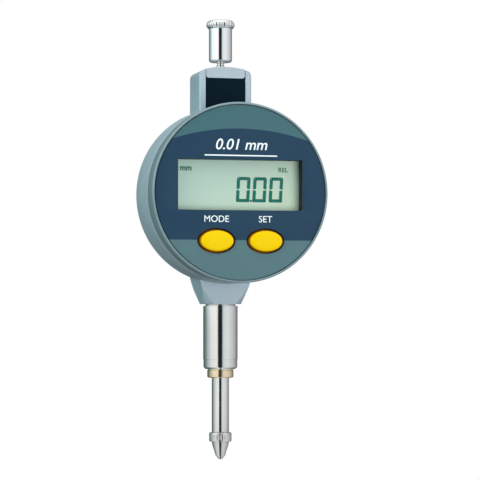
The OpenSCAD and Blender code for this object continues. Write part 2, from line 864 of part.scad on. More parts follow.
housing();
tower_panel();
top_cap();
top_bush();
stem();
stem_inner_bush();
stem_collar();
buffer_washer();
return_spring();
guide_rail();
guide_rail_screws();
reader_board();
reader_sensor();
reader_screws();
battery_holder();
battery_cell();
battery_contacts();
back_gasket();
back_cover();
back_cover_screws();
battery_door();
stop_pin();
friction_washer();
head_seal();
link_flex();
spindle();
knob_rod();
lifting_knob();
contact_body();
contact_ball();
scale_carrier();
carrier_screw();
guide_pin();
scale_strip();
head_shell();
hub_retainer();
face_plate();
lens();
screen_frame();
screen_panel();
zebra_strips();
main_board();
board_chips();
key_domes();
board_screws();
coiled_flex();
mode_button();
set_button();
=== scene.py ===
"""Looks of a digital dial indicator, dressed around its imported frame.

Every length is in metres in the frame's own axes: +Z up the plunger, -Y out of the display.
"""

import json
import logging
import math
from dataclasses import dataclass, field
from enum import Enum
from typing import Any, Iterable, Optional, Sequence, Union

import bmesh
import bpy
from mathutils import Matrix, Vector


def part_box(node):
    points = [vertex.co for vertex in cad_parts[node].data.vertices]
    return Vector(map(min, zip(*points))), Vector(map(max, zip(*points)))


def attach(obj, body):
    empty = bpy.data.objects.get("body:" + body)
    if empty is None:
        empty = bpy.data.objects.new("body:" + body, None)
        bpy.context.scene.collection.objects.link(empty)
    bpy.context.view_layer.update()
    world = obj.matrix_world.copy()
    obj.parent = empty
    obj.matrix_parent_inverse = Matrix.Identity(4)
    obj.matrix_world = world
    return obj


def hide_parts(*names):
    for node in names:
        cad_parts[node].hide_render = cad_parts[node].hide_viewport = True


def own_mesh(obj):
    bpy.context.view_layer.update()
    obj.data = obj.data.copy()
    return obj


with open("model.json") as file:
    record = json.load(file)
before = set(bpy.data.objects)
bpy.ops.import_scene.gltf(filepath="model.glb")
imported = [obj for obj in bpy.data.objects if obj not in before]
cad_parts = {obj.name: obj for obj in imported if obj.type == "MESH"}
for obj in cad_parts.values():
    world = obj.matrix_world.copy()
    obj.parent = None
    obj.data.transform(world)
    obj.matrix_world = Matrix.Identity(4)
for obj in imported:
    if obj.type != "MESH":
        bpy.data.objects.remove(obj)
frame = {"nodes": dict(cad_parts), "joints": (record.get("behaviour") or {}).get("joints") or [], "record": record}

LOG = logging.getLogger("dial_indicator")
MM = 0.001
SAME_PLACE = 1e-7
FINE_EDGE = 0.05 * MM
SMALL_EDGE = 0.1 * MM
Colour = tuple[float, float, float]
Point = tuple[float, float]
Value = Union["Link", float, Sequence[float]]


# ---------------------------------------------------------------------------------------------
# Shader building
# ---------------------------------------------------------------------------------------------


class Link:
    """One output socket of a shader tree, with arithmetic that adds Math nodes."""

    def __init__(self, shader: "Shader", socket: bpy.types.NodeSocket) -> None:
        """Keeps the tree that owns the socket, so that arithmetic can add to it."""
        self.shader = shader
        self.socket = socket

    def math(self, operation: str, *others: Value) -> "Link":
        """Adds one Math node whose first input is this socket.

        Args:
            operation: The Math node's operation.
            others: The remaining inputs, in order.

        Returns:
            The node's output.
        """
        return self.shader.node("ShaderNodeMath", {"operation": operation}, dict(enumerate((self, *others))))

    def __add__(self, other: Value) -> "Link":
        """self + other."""
        return self.math("ADD", other)

    def __radd__(self, other: Value) -> "Link":
        """other + self."""
        return self.math("ADD", other)

    def __sub__(self, other: Value) -> "Link":
        """self - other."""
        return self.math("SUBTRACT", other)

    def __rsub__(self, other: float) -> "Link":
        """other - self."""
        return (self * -1.0) + other

    def __mul__(self, other: Value) -> "Link":
        """self * other."""
        return self.math("MULTIPLY", other)

    def __rmul__(self, other: Value) -> "Link":
        """other * self."""
        return self.math("MULTIPLY", other)

    def __truediv__(self, other: Value) -> "Link":
        """self / other."""
        return self.math("DIVIDE", other)

class Shader:
    """A node tree that is written as expressions."""

    def __init__(self, tree: bpy.types.NodeTree) -> None:
        """Empties the tree, ready for new nodes."""
        self.tree = tree
        self.tree.nodes.clear()

    def node(
        self,
        kind: str,
        settings: Optional[dict[str, Any]] = None,
        sockets: Optional[dict[Union[str, int], Value]] = None,
        output: Union[str, int] = 0,
    ) -> Link:
        """Adds one node of any type.

        Args:
            kind: The node's type name.
            settings: Properties, set before the sockets; a ramp's "stops" are (position, colour) pairs.
            sockets: Values or links for the inputs, by name or index.
            output: Which output to return, by name or index.

        Returns:
            The chosen output.
        """
        made = self.tree.nodes.new(kind)
        for name, value in (settings or {}).items():
            if name == "stops":
                self._set_stops(made.color_ramp, value)
            else:
                setattr(made, name, value)
        for name, value in (sockets or {}).items():
            if isinstance(value, Link):
                self.tree.links.new(value.socket, made.inputs[name])
            else:
                made.inputs[name].default_value = value
        outputs = made.outputs
        return Link(self, outputs[output]) if len(outputs) else Link(self, made.inputs[0])

    @staticmethod
    def _set_stops(ramp: bpy.types.ColorRamp, stops: Sequence[tuple[float, Colour]]) -> None:
        """Gives a ramp its stops.

        Args:
            ramp: The ramp to fill.
            stops: (position, colour) pairs in rising order.
        """
        while len(ramp.elements) > len(stops):
            ramp.elements.remove(ramp.elements[-1])
        while len(ramp.elements) < len(stops):
            ramp.elements.new(1.0)
        for element, (position, colour) in zip(ramp.elements, stops):
            element.position = position
            element.color = (*colour, 1.0)

    def place(self) -> Link:
        """Position on the object in metres, in the frame's axes."""
        return self.node("ShaderNodeTexCoord", output="Object")

    def axes(self, vector: Link) -> tuple[Link, Link, Link]:
        """Splits a vector.

        Args:
            vector: The vector to split.

        Returns:
            Its x, y and z.
        """
        split = self.node("ShaderNodeSeparateXYZ", sockets={0: vector}).socket.node
        return tuple(Link(self, split.outputs[i]) for i in range(3))

    def stretched(self, factors: Sequence[float]) -> Link:
        """The position with each axis scaled by its own factor."""
        return self.node(
            "ShaderNodeVectorMath", {"operation": "MULTIPLY"}, {0: self.place(), 1: tuple(factors)}
        )

    def noise(self, size: float, detail: float = 3.0, vector: Optional[Link] = None) -> Link:
        """Fractal noise.

        Args:
            size: Width of its largest feature, in metres.
            detail: How many finer layers it has.
            vector: Where to look it up; the position if left out.

        Returns:
            The noise, from 0 to 1.
        """
        sockets = {"Vector": vector or self.place(), "Scale": 1.0 / size, "Detail": detail}
        return self.node("ShaderNodeTexNoise", sockets=sockets)

    def fade(self, value: Link, low: float, high: float) -> Link:
        """Rises smoothly from 0 at low to 1 at high."""
        sockets = {"Value": value, "From Min": low, "From Max": high}
        return self.node("ShaderNodeMapRange", {"interpolation_type": "SMOOTHSTEP"}, sockets)

    def spread(self, value: Link, low: float, high: float) -> Link:
        """Maps 0..1 to low..high in a straight line."""
        return value * (high - low) + low

    def blend(self, factor: Value, first: Value, second: Value) -> Link:
        """Mixes two colours.

        Args:
            factor: 0 gives the first colour and 1 the second.
            first: A colour or a link.
            second: A colour or a link.

        Returns:
            The mixed colour.
        """
        sides = [c if isinstance(c, Link) else (*c, 1.0) for c in (first, second)]
        return self.node(
            "ShaderNodeMix", {"data_type": "RGBA"}, {0: factor, 6: sides[0], 7: sides[1]}, output=2
        )

    def bump(self, height: Link, depth: float, under: Optional[Link] = None) -> Link:
        """Turns a height into a normal.

        Args:
            height: Heights from 0 to 1.
            depth: What a height of 1 stands for, in metres.
            under: A normal that this one lies on.

        Returns:
            The normal.
        """
        sockets: dict[Union[str, int], Value] = {"Height": height, "Distance": depth}
        if under is not None:
            sockets["Normal"] = under
        return self.node("ShaderNodeBump", sockets=sockets)


class Finish:
    """Base of every finish: a named material that is made once and then shared."""

    _made: dict["Finish", bpy.types.Material] = {}

    def material(self) -> bpy.types.Material:
        """The Blender material of this finish."""
        if self not in Finish._made:
            made = bpy.data.materials.new(getattr(self, "name"))
            made.use_nodes = True
            self.paint(Shader(made.node_tree))
            Finish._made[self] = made
        return Finish._made[self]

    def paint(self, shader: Shader) -> None:
        """Fills the material's tree; each finish has its own."""
        raise NotImplementedError

    @staticmethod
    def surface(shader: Shader, sockets: dict[str, Value]) -> None:
        """Ends a tree with one Principled surface.

        Args:
            shader: The tree to end.
            sockets: The surface's inputs.
        """
        lit = shader.node("ShaderNodeBsdfPrincipled", sockets=sockets)
        shader.node("ShaderNodeOutputMaterial", sockets={"Surface": lit})


# ---------------------------------------------------------------------------------------------
# Finishes
# ---------------------------------------------------------------------------------------------


@dataclass(frozen=True)
class SatinCoat(Finish):
    """Sprayed satin coating on cast metal, with a fine grain and faint handling marks."""

    name: str
    colour: Colour
    roughness: float = 0.42
    grain: float = 0.16 * MM
    grain_depth: float = 0.006 * MM
    metal: float = 0.25

    def paint(self, shader: Shader) -> None:
        """A fleck of lighter metal, grain and soft smudges."""
        tint = tuple(min(1.0, c * 1.22) for c in self.colour)
        deep = tuple(c * 0.86 for c in self.colour)
        fleck = shader.fade(shader.noise(self.grain * 0.8, 1.0), 0.35, 0.7)
        cloud = shader.noise(7 * MM, 4.0)
        smudge = shader.noise(2.5 * MM, 6.0)
        base = shader.blend(fleck * 0.55 + cloud * 0.45, deep, tint)
        height = shader.noise(self.grain, 2.0)
        wave = shader.noise(1.6 * MM, 2.0)
        normal = shader.bump(wave, self.grain_depth * 1.2, shader.bump(height, self.grain_depth))
        rough = shader.spread(smudge, self.roughness - 0.08, self.roughness + 0.1)
        self.surface(
            shader,
            {"Base Color": base, "Roughness": rough, "Metallic": self.metal, "Normal": normal},
        )


@dataclass(frozen=True)
class TurnedMetal(Finish):
    """Metal turned about the plunger's axis, with fine tool rings and hairline scratches."""

    name: str
    colour: Colour
    roughness: float = 0.16
    ring: float = 0.09 * MM
    ring_depth: float = 0.0005 * MM
    tarnish: float = 0.12

    def paint(self, shader: Shader) -> None:
        """Rings along Z, patchy roughness and a little tarnish."""
        rings = shader.noise(self.ring, 2.0, shader.stretched((0.02, 0.02, 1.0)))
        broad = shader.noise(self.ring * 9, 2.0, shader.stretched((0.03, 0.03, 1.0)))
        hair = shader.fade(shader.noise(0.35 * MM, 2.0, shader.stretched((1.0, 1.0, 0.06))), 0.62, 0.72)
        film = shader.noise(3.2 * MM, 5.0)
        deep = tuple(c * (1.0 - self.tarnish) for c in self.colour)
        base = shader.blend(film * 0.7 + broad * 0.3, self.colour, deep)
        rough = shader.spread(film, self.roughness * 0.7, self.roughness * 1.35) + hair * 0.08
        normal = shader.bump(rings * 0.7 + broad * 0.3, self.ring_depth)
        self.surface(
            shader, {"Base Color": base, "Roughness": rough, "Metallic": 1.0, "Normal": normal}
        )


@dataclass(frozen=True)
class PlainMetal(Finish):
    """Pressed, plated or blued metal with an even, slightly mottled surface."""

    name: str
    colour: Colour
    roughness: float = 0.3
    mottle: float = 0.6 * MM

    def paint(self, shader: Shader) -> None:
        """Mottled colour, uneven roughness and a faint hammered bump."""
        film = shader.noise(self.mottle, 4.0)
        deep = tuple(c * 0.78 for c in self.colour)
        patches = shader.noise(self.mottle * 2.5, 4.0)
        rough = shader.spread(patches, self.roughness * 0.75, self.roughness * 1.4)
        self.surface(
            shader,
            {
                "Base Color": shader.blend(film, deep, self.colour),
                "Roughness": rough,
                "Metallic": 1.0,
                "Normal": shader.bump(film, 0.002 * MM),
            },
        )


@dataclass(frozen=True)
class Moulding(Finish):
    """Moulded plastic or rubber with a spark-eroded grain."""

    name: str
    colour: Colour
    roughness: float = 0.5
    grain: float = 0.12 * MM
    shine: float = 0.5

    def paint(self, shader: Shader) -> None:
        """Fine moulded grain, drifting colour and handled patches."""
        grain = shader.noise(self.grain, 2.0)
        drift = shader.noise(4 * MM, 3.0)
        lift = tuple(min(1.0, c * 1.18 + 0.002) for c in self.colour)
        rough = shader.spread(shader.noise(1.8 * MM, 5.0), self.roughness * 0.8, self.roughness * 1.2)
        self.surface(
            shader,
            {
                "Base Color": shader.blend(drift, self.colour, lift),
                "Roughness": rough,
                "Specular IOR Level": self.shine,
                "Normal": shader.bump(grain, 0.003 * MM),
            },
        )


@dataclass(frozen=True)
class PrintedFace(Finish):
    """Face foil: grey-green ground with a dark blue band that has an arched top edge."""

    name: str
    centre_z: float
    radius: float
    band_top: float
    band_bottom: float
    band_arc: float
    ground_top: Colour = (0.053, 0.141, 0.162)
    ground_bottom: Colour = (0.098, 0.190, 0.208)
    band: Colour = (0.018, 0.056, 0.105)
    edge: float = 0.05 * MM

    def paint(self, shader: Shader) -> None:
        """The band between its arc and its straight edge, over a ground that lightens downwards."""
        x, _, z = shader.axes(shader.place())
        up = z - self.centre_z
        fall = up - (self.band_top - self.band_arc)
        distance = (x * x + fall * fall).math("SQRT")
        under_arc = 1.0 - shader.fade(distance, self.band_arc - self.edge, self.band_arc + self.edge)
        over_line = shader.fade(up, self.band_bottom - self.edge, self.band_bottom + self.edge)
        ink = shader.noise(5 * MM, 3.0)
        ground = shader.blend(
            shader.fade(up, -self.radius, self.radius), self.ground_bottom, self.ground_top
        )
        deep = tuple(c * 0.85 for c in self.band)
        band = shader.blend(ink, self.band, deep)
        speck = shader.fade(shader.noise(0.09 * MM, 1.0), 0.3, 0.7)
        toned = shader.blend(speck * 0.12, ground, tuple(c * 1.5 for c in self.ground_bottom))
        normal = shader.bump(
            shader.noise(0.11 * MM, 2.0), 0.0016 * MM, shader.bump(under_arc * over_line, 0.012 * MM)
        )
        self.surface(
            shader,
            {
                "Base Color": shader.blend(under_arc * over_line, toned, band),
                "Roughness": shader.spread(shader.noise(2.2 * MM, 5.0), 0.36, 0.5),
                "Specular IOR Level": 0.2,
                "Normal": normal,
            },
        )


@dataclass(frozen=True)
class CrystalPanel(Finish):
    """Reflective liquid-crystal panel: pale grey-green, a shade warmer towards one corner."""

    name: str
    cool: Colour = (0.57, 0.80, 0.70)
    warm: Colour = (0.70, 0.86, 0.66)

    def paint(self, shader: Shader) -> None:
        """Brushed reflector behind a smooth front."""
        x, _, z = shader.axes(shader.place())
        drift = shader.fade(x * 0.7 - z, -0.045, -0.018)
        foil = shader.noise(0.12 * MM, 2.0, shader.stretched((1.0, 1.0, 0.2)))
        base = shader.blend(drift * 0.75 + foil * 0.25, self.cool, self.warm)
        self.surface(
            shader,
            {
                "Base Color": base,
                "Roughness": shader.spread(foil, 0.28, 0.4),
                "Specular IOR Level": 0.2,
                "Normal": shader.bump(foil, 0.001 * MM),
            },
        )


@dataclass(frozen=True)
class Ink(Finish):
    """Printed ink or crystal segments: dense colour with slightly uneven laydown, and a painted glow where glow is
    set.
    """

    name: str
    colour: Colour
    alpha: float = 1.0
    roughness: float = 0.45
    # glow is an emission strength: painted light that brightens the ink.
    glow: float = 0.0

    def paint(self, shader: Shader) -> None:
        """Mottled ink that keeps its crisp edge; glow adds painted light as emission."""
        lay = shader.noise(0.25 * MM, 3.0)
        thin = tuple(min(1.0, c * 1.12 + 0.004) for c in self.colour)
        self.surface(
            shader,
            {
                "Base Color": shader.blend(lay, self.colour, thin),
                "Roughness": shader.spread(lay, self.roughness - 0.06, self.roughness + 0.08),
                "Alpha": self.alpha,
                "Specular IOR Level": 0.25,
                "Emission Color": (*self.colour, 1.0),
                "Emission Strength": self.glow,
                "Normal": shader.bump(lay, 0.003 * MM),
            },
        )


@dataclass(frozen=True)
class ClearWindow(Finish):
    """Clear polished window that shows mostly its reflections."""

    name: str
    alpha: float = 0.05

    def paint(self, shader: Shader) -> None:
        """Nearly clear, with hairline wipe marks in its gloss."""
        wipe = shader.noise(0.5 * MM, 3.0, shader.stretched((0.2, 1.0, 1.0)))
        self.surface(
            shader,
            {
                "Base Color": shader.blend(wipe, (0.02, 0.05, 0.05), (0.04, 0.08, 0.08)),
                "Roughness": shader.spread(wipe, 0.02, 0.06),
                "Alpha": self.alpha,
                "Normal": shader.bump(wipe, 0.0002 * MM),
            },
        )


@dataclass(frozen=True)
class ButtonPlastic(Finish):
    """Bright yellow button plastic, a little clear; its darker amber copy on the skirt is painted shade on the
    button's side.
    """

    name: str
    colour: Colour
    rim: Colour
    roughness: float = 0.3

    def paint(self, shader: Shader) -> None:
        """Colour that drifts a little towards the rim colour, with a fine moulded grain."""
        drift = shader.noise(1.2 * MM, 3.0)
        self.surface(
            shader,
            {
                "Base Color": shader.blend(drift * 0.4, self.colour, self.rim),
                "Roughness": shader.spread(drift, self.roughness * 0.85, self.roughness * 1.25),
                "Subsurface Weight": 0.12,
                "Subsurface Radius": (0.6, 0.35, 0.05),
                "Subsurface Scale": 0.4 * MM,
                "Specular IOR Level": 0.12,
                "Normal": shader.bump(shader.noise(0.1 * MM, 2.0), 0.0012 * MM),
            },
        )


class Slot(Enum):
    """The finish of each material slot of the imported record."""

    case_metal = SatinCoat("case_coat", (0.445, 0.545, 0.61))
    cap_metal = SatinCoat("cap_coat", (0.46, 0.54, 0.59), roughness=0.38)
    cover_metal = SatinCoat("cover_coat", (0.27, 0.345, 0.38), roughness=0.45)
    head_metal = SatinCoat("head_coat", (0.232, 0.330, 0.362), roughness=0.36)
    black_gloss = Moulding("panel_gloss", (0.0006, 0.009, 0.017), roughness=0.2, grain=0.3 * MM, shine=0.04)
    clear_lens = ClearWindow("window_clear")
    screen_black = Moulding("screen_frame_black", (0.006, 0.014, 0.020), roughness=0.55)
    screen_glass = CrystalPanel("crystal_panel")
    button_yellow = ButtonPlastic("button_crown", (0.92, 0.62, 0.0), (0.95, 0.68, 0.004))
    polished_steel = TurnedMetal("ground_steel", (0.80, 0.81, 0.80), roughness=0.13)
    knob_steel = TurnedMetal("knob_steel", (0.93, 0.94, 0.95), roughness=0.12)
    contact_steel = TurnedMetal("contact_steel", (0.80, 0.81, 0.80), roughness=0.2, tarnish=0.2)
    ball_steel = TurnedMetal("ball_steel", (0.55, 0.56, 0.56), roughness=0.1)
    screw_steel = PlainMetal("screw_zinc", (0.55, 0.56, 0.58), roughness=0.28)
    spring_steel = PlainMetal("spring_steel", (0.38, 0.39, 0.41), roughness=0.25)
    cell_steel = PlainMetal("cell_nickel", (0.66, 0.66, 0.65), roughness=0.22)
    dark_metal = PlainMetal("carrier_anodised", (0.09, 0.095, 0.11), roughness=0.42)
    brass = TurnedMetal("bush_brass", (0.74, 0.56, 0.26), roughness=0.22)
    pale_brass = TurnedMetal("collar_brass", (0.90, 0.75, 0.52), roughness=0.2)
    gold_contact = PlainMetal("contact_gold", (0.83, 0.62, 0.27), roughness=0.2)
    board = Moulding("board_green", (0.012, 0.12, 0.05), roughness=0.35)
    dark_plastic = Moulding("black_moulding", (0.018, 0.019, 0.021), roughness=0.45)
    ribbon = Moulding("ribbon_amber", (0.42, 0.17, 0.02), roughness=0.25, grain=0.5 * MM)
    zebra_rubber = Moulding("strip_rubber", (0.42, 0.12, 0.12), roughness=0.7)
    rubber = Moulding("seal_rubber", (0.012, 0.012, 0.013), roughness=0.65)


# Amber skirt, much darker than the crown: painted shade on the button's side.
AMBER_SKIRT_PAINTED_SHADE = ButtonPlastic("button_skirt_painted_shade", (0.42, 0.13, 0.004), (0.55, 0.22, 0.01), roughness=0.25)
# White print with a faint painted glow from emission on top of its ink.
WHITE_PRINT_PAINTED_GLOW = Ink("white_print_painted_glow", (0.80, 0.88, 0.90), glow=0.12)
SEGMENT_INK = Ink("segment_on", (0.002, 0.16, 0.12), roughness=0.3)
SEGMENT_SHADE = Ink("segment_shade", (0.18, 0.42, 0.33), alpha=0.4)
TAG_INK = Ink("tag_on", (0.03, 0.17, 0.09), roughness=0.3)
DARK_PRINT = Ink("dark_print", (0.03, 0.05, 0.06))


# ---------------------------------------------------------------------------------------------
# Mesh building
# ---------------------------------------------------------------------------------------------


def filleted(corners: Iterable[tuple[float, float, float]], steps: int = 5) -> list[Point]:
    """Rounds the corners of an open line.

    Args:
        corners: (u, v, radius) of each corner, in order; the two ends keep their place.
        steps: Straight pieces in each arc.

    Returns:
        The points of the rounded line.
    """
    most = 0.49
    given = list(corners)
    line: list[Point] = [given[0][:2]]
    for before, (u, v, radius), after in zip(given, given[1:], given[2:]):
        here = Vector((u, v))
        back = Vector(before[:2]) - here
        ahead = Vector(after[:2]) - here
        turn = back.angle(ahead) if back.length and ahead.length else math.pi
        if radius <= 0 or turn > math.pi - 0.01:
            line.append((u, v))
            continue
        cut = min(radius / math.tan(turn / 2), back.length * most, ahead.length * most)
        start = here + back.normalized() * cut
        end = here + ahead.normalized() * cut
        for i in range(steps + 1):
            t = i / steps
            point = start * (1 - t) ** 2 + here * 2 * t * (1 - t) + end * t**2
            line.append((point.x, point.y))
    line.append(given[-1][:2])
    return line


def object_from(name: str, mesh: bpy.types.Mesh, finish: Finish, sharp_deg: float = 32.0) -> bpy.types.Object:
    """Links a mesh as a smooth-shaded object.

    Args:
        name: The piece's name.
        mesh: Its mesh.
        finish: What it is dressed in.
        sharp_deg: Edges that turn more than this stay sharp.

    Returns:
        The object.
    """
    mesh.name = name
    mesh.materials.clear()
    mesh.materials.append(finish.material())
    mesh.polygons.foreach_set("use_smooth", [True] * len(mesh.polygons))
    mesh.set_sharp_from_angle(angle=math.radians(sharp_deg))
    made = bpy.data.objects.new(name, mesh)
    bpy.context.scene.collection.objects.link(made)
    return made


@dataclass
class Knurl:
    """Straight grooves rolled into a turned ring."""

    low: float
    high: float
    count: int
    depth: float
    blend: float = 0.12 * MM
    sharpness: float = 1.5

    def cut(self, angle: float, height: float) -> float:
        """How far the surface is pressed in.

        Args:
            angle: Angle round the ring, in radians.
            height: Height along its axis.

        Returns:
            The depth at that place.
        """
        inside = min(height - self.low, self.high - height) / self.blend
        if inside <= 0:
            return 0.0
        wave = 0.5 - 0.5 * math.cos(self.count * angle)
        return self.depth * min(1.0, inside) * wave**self.sharpness


@dataclass
class Lathe:
    """A turned piece: a profile of (radius, height) revolved about an axis along Z or Y."""

    name: str
    profile: list[Point]
    finish: Finish
    segments: int = 128
    knurl: Optional[Knurl] = None
    along_y: bool = False
    centre: tuple[float, float, float] = (0.0, 0.0, 0.0)

    def build(self) -> bpy.types.Object:
        """Revolves the profile.

        Returns:
            The turned piece.
        """
        shape = bmesh.new()
        rings = [self._ring(shape, radius, height) for radius, height in self.profile]
        for low, high in zip(rings, rings[1:]):
            self._join(shape, low, high)
        bmesh.ops.remove_doubles(shape, verts=shape.verts, dist=SAME_PLACE)
        bmesh.ops.recalc_face_normals(shape, faces=shape.faces)
        mesh = bpy.data.meshes.new(self.name)
        shape.to_mesh(mesh)
        shape.free()
        return object_from(self.name, mesh, self.finish)

    def _ring(self, shape: bmesh.types.BMesh, radius: float, height: float) -> list[bmesh.types.BMVert]:
        """One ring of corners, or a single one on the axis."""
        if radius <= 0:
            return [shape.verts.new(self._world(0.0, 0.0, height))]
        corners = []
        for i in range(self.segments):
            angle = 2 * math.pi * i / self.segments
            r = radius - (self.knurl.cut(angle, height) if self.knurl else 0.0)
            corners.append(shape.verts.new(self._world(r * math.cos(angle), r * math.sin(angle), height)))
        return corners

    def _world(self, u: float, v: float, height: float) -> Vector:
        """Turns lathe coordinates into the frame's."""
        local = Vector((u, height, v)) if self.along_y else Vector((u, v, height))
        return Vector(self.centre) + local

    @staticmethod
    def _join(shape: bmesh.types.BMesh, low: list[Any], high: list[Any]) -> None:
        """Faces between two rings; one of them may be a single corner."""
        count = max(len(low), len(high))
        if count == 1:
            return
        for i in range(count):
            j = (i + 1) % count
            loop = [low[i % len(low)], low[j % len(low)], high[j % len(high)], high[i % len(high)]]
            unique = list(dict.fromkeys(loop))
            if len(unique) > 2:
                shape.faces.new(unique)


@dataclass
class Plate:
    """A flat piece in the plane of the face, with holes, thickness and rounded edges."""

    name: str
    outlines: list[list[Point]]
    finish: Finish
    front: float
    back: float
    edge: float = 0.0

    def build(self) -> bpy.types.Object:
        """Fills the outlines and gives them thickness.

        Returns:
            The plate, facing -Y.
        """
        curve = bpy.data.curves.new(self.name, "CURVE")
        curve.dimensions = "2D"
        curve.fill_mode = "BOTH"
        thickness = self.back - self.front
        curve.extrude = thickness / 2 - self.edge
        curve.bevel_depth = self.edge
        curve.bevel_resolution = 2
        curve.offset = -self.edge
        for outline in self.outlines:
            spline = curve.splines.new("POLY")
            spline.points.add(len(outline) - 1)
            spline.points.foreach_set("co", [c for x, z in outline for c in (x, z, 0.0, 1.0)])
            spline.use_cyclic_u = True
        middle = (self.front + self.back) / 2
        return solid_from_curve(self.name, curve, self.finish, middle)


def solid_from_curve(name: str, curve: bpy.types.Curve, finish: Finish, y: float) -> bpy.types.Object:
    """Turns a flat curve or a text into a mesh that stands in the plane of the face.

    Args:
        name: The piece's name.
        curve: The curve, drawn in its own XY plane.
        finish: What the piece is dressed in.
        y: Where its middle plane lies.

    Returns:
        The piece.
    """
    source = bpy.data.objects.new(name + "_outline", curve)
    bpy.context.scene.collection.objects.link(source)
    bpy.context.view_layer.update()
    shaped = source.evaluated_get(bpy.context.evaluated_depsgraph_get())
    mesh = bpy.data.meshes.new_from_object(shaped)
    bpy.data.objects.remove(source)
    mesh.transform(Matrix.Translation((0.0, y, 0.0)) @ Matrix.Rotation(math.pi / 2, 4, "X"))
    shape = bmesh.new()
    shape.from_mesh(mesh)
    bmesh.ops.remove_doubles(shape, verts=shape.verts, dist=SAME_PLACE)
    bmesh.ops.recalc_face_normals(shape, faces=shape.faces)
    shape.to_mesh(mesh)
    shape.free()
    return object_from(name, mesh, finish)


def circle_points(radius: float, x: float, z: float, count: int = 160, squash: float = 1.0) -> list[Point]:
    """Points of a circle, or of an ellipse when squash isn't 1.

    Args:
        radius: Half its width.
        x: Its centre across.
        z: Its centre upwards.
        count: How many points.
        squash: Height over width.

    Returns:
        The points, anticlockwise.
    """
    turns = [2 * math.pi * i / count for i in range(count)]
    return [(x + radius * math.cos(t), z + radius * squash * math.sin(t)) for t in turns]


def round_box_points(x0: float, x1: float, z0: float, z1: float, radius: float) -> list[Point]:
    """Points of a rectangle with round corners.

    Args:
        x0: Left side.
        x1: Right side.
        z0: Bottom.
        z1: Top.
        radius: Corner radius.

    Returns:
        The points, anticlockwise.
    """
    steps = 6
    left, right, low, high = x0 + radius, x1 - radius, z0 + radius, z1 - radius
    centres = [(right, high), (left, high), (left, low), (right, low)]
    points = []
    for quarter, (cx, cz) in enumerate(centres):
        for i in range(steps + 1):
            t = (quarter + i / steps) * math.pi / 2
            points.append((cx + radius * math.cos(t), cz + radius * math.sin(t)))
    return points


def lettering(
    name: str, words: str, size: float, centre: Point, y: float, finish: Finish, weight: float = 0.0,
    lean: float = 0.0, flip: bool = False,
) -> bpy.types.Object:
    """Raised print in a plain sans letter.

    Args:
        name: The piece's name.
        words: What it says.
        size: Height of a capital letter.
        centre: Its middle, across and upwards.
        y: The surface that it lies on.
        finish: Its ink.
        weight: How much each stroke is thickened.
        lean: How far it leans to the right, per height.
        flip: True to face +Y, for the back.

    Returns:
        The print.
    """
    capital_share = 0.73
    thickness = 0.012 * MM
    text = bpy.data.curves.new(name, "FONT")
    text.body = words
    text.size = size / capital_share
    text.align_x = "CENTER"
    text.align_y = "CENTER"
    text.offset = weight
    text.shear = lean
    text.extrude = thickness
    text.resolution_u = 6
    made = solid_from_curve(name, text, finish, 0.0)
    turn = Matrix.Rotation(math.pi, 4, "Z") if flip else Matrix.Identity(4)
    made.data.transform(Matrix.Translation((centre[0], y, centre[1])) @ turn)
    return made


def soften(node: str, width: float, segments: int = 2, angle_deg: float = 28.0) -> None:
    """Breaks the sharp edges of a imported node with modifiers, so that they catch the light.

    Args:
        node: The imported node.
        width: Width of the broken edge.
        segments: Steps across it.
        angle_deg: Edges that turn less than this stay as they are.
    """
    part = frame["nodes"][node]
    weld = part.modifiers.new("weld", "WELD")
    weld.merge_threshold = 1e-6
    merge = part.modifiers.new("merge_flats", "DECIMATE")
    merge.decimate_type = "DISSOLVE"
    merge.angle_limit = math.radians(0.4)
    bevel = part.modifiers.new("broken_edges", "BEVEL")
    bevel.width = width
    bevel.segments = segments
    bevel.limit_method = "ANGLE"
    bevel.angle_limit = math.radians(angle_deg)
    bevel.use_clamp_overlap = True
    bevel.harden_normals = True
    bevel.miter_outer = "MITER_ARC"


def reach(node: str) -> tuple[Vector, Vector, Vector]:
    """Lowest corner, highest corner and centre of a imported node."""
    low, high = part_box(node)
    return low, high, (low + high) / 2


# ---------------------------------------------------------------------------------------------
# Sub-assemblies
# ---------------------------------------------------------------------------------------------


@dataclass
class Assembly:
    """A group of pieces that is built, dressed and reported together."""

    body = "case"
    made: list[str] = field(default_factory=list, init=False)

    def keep(
        self, piece: bpy.types.Object, slot: str, replaces: Sequence[str] = (), body: Optional[str] = None
    ) -> None:
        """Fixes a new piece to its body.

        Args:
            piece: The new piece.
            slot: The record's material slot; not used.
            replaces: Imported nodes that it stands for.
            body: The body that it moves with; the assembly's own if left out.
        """
        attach(piece, body or self.body)
        if replaces:
            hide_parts(*replaces)
        self.made.append(piece.name)
        LOG.info("%s rides on %s", piece.name, body or self.body)

    def turn(
        self, name: str, profile: list[Point], slot: str, node: str, segments: int = 128,
        knurl: Optional[Knurl] = None,
    ) -> None:
        """Turns a piece about the plunger's axis and puts it in a node's place.

        Args:
            name: The piece's name.
            profile: Its (radius, height) profile.
            slot: The material slot that it takes its finish from.
            node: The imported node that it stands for.
            segments: Steps around it.
            knurl: Its grooves, if it has any.
        """
        self.keep(Lathe(name, profile, Slot[slot].value, segments, knurl).build(), slot, [node])


class PackedNodes:
    """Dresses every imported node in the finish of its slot."""

    def dress(self) -> None:
        """Gives each node its material."""
        for row in frame["record"]["subparts"]:
            finish = self.finish_of(row["material_slot"])
            part = frame["nodes"][row["node"]]
            part.data.materials.clear()
            part.data.materials.append(finish.material())
            LOG.info("%s is dressed in %s", row["node"], row["material_slot"])

    @staticmethod
    def finish_of(slot: str) -> Finish:
        """The finish of a slot; the printed face is dressed by its own class."""
        return Slot["head_metal"].value if slot == "face_plastic" else Slot[slot].value


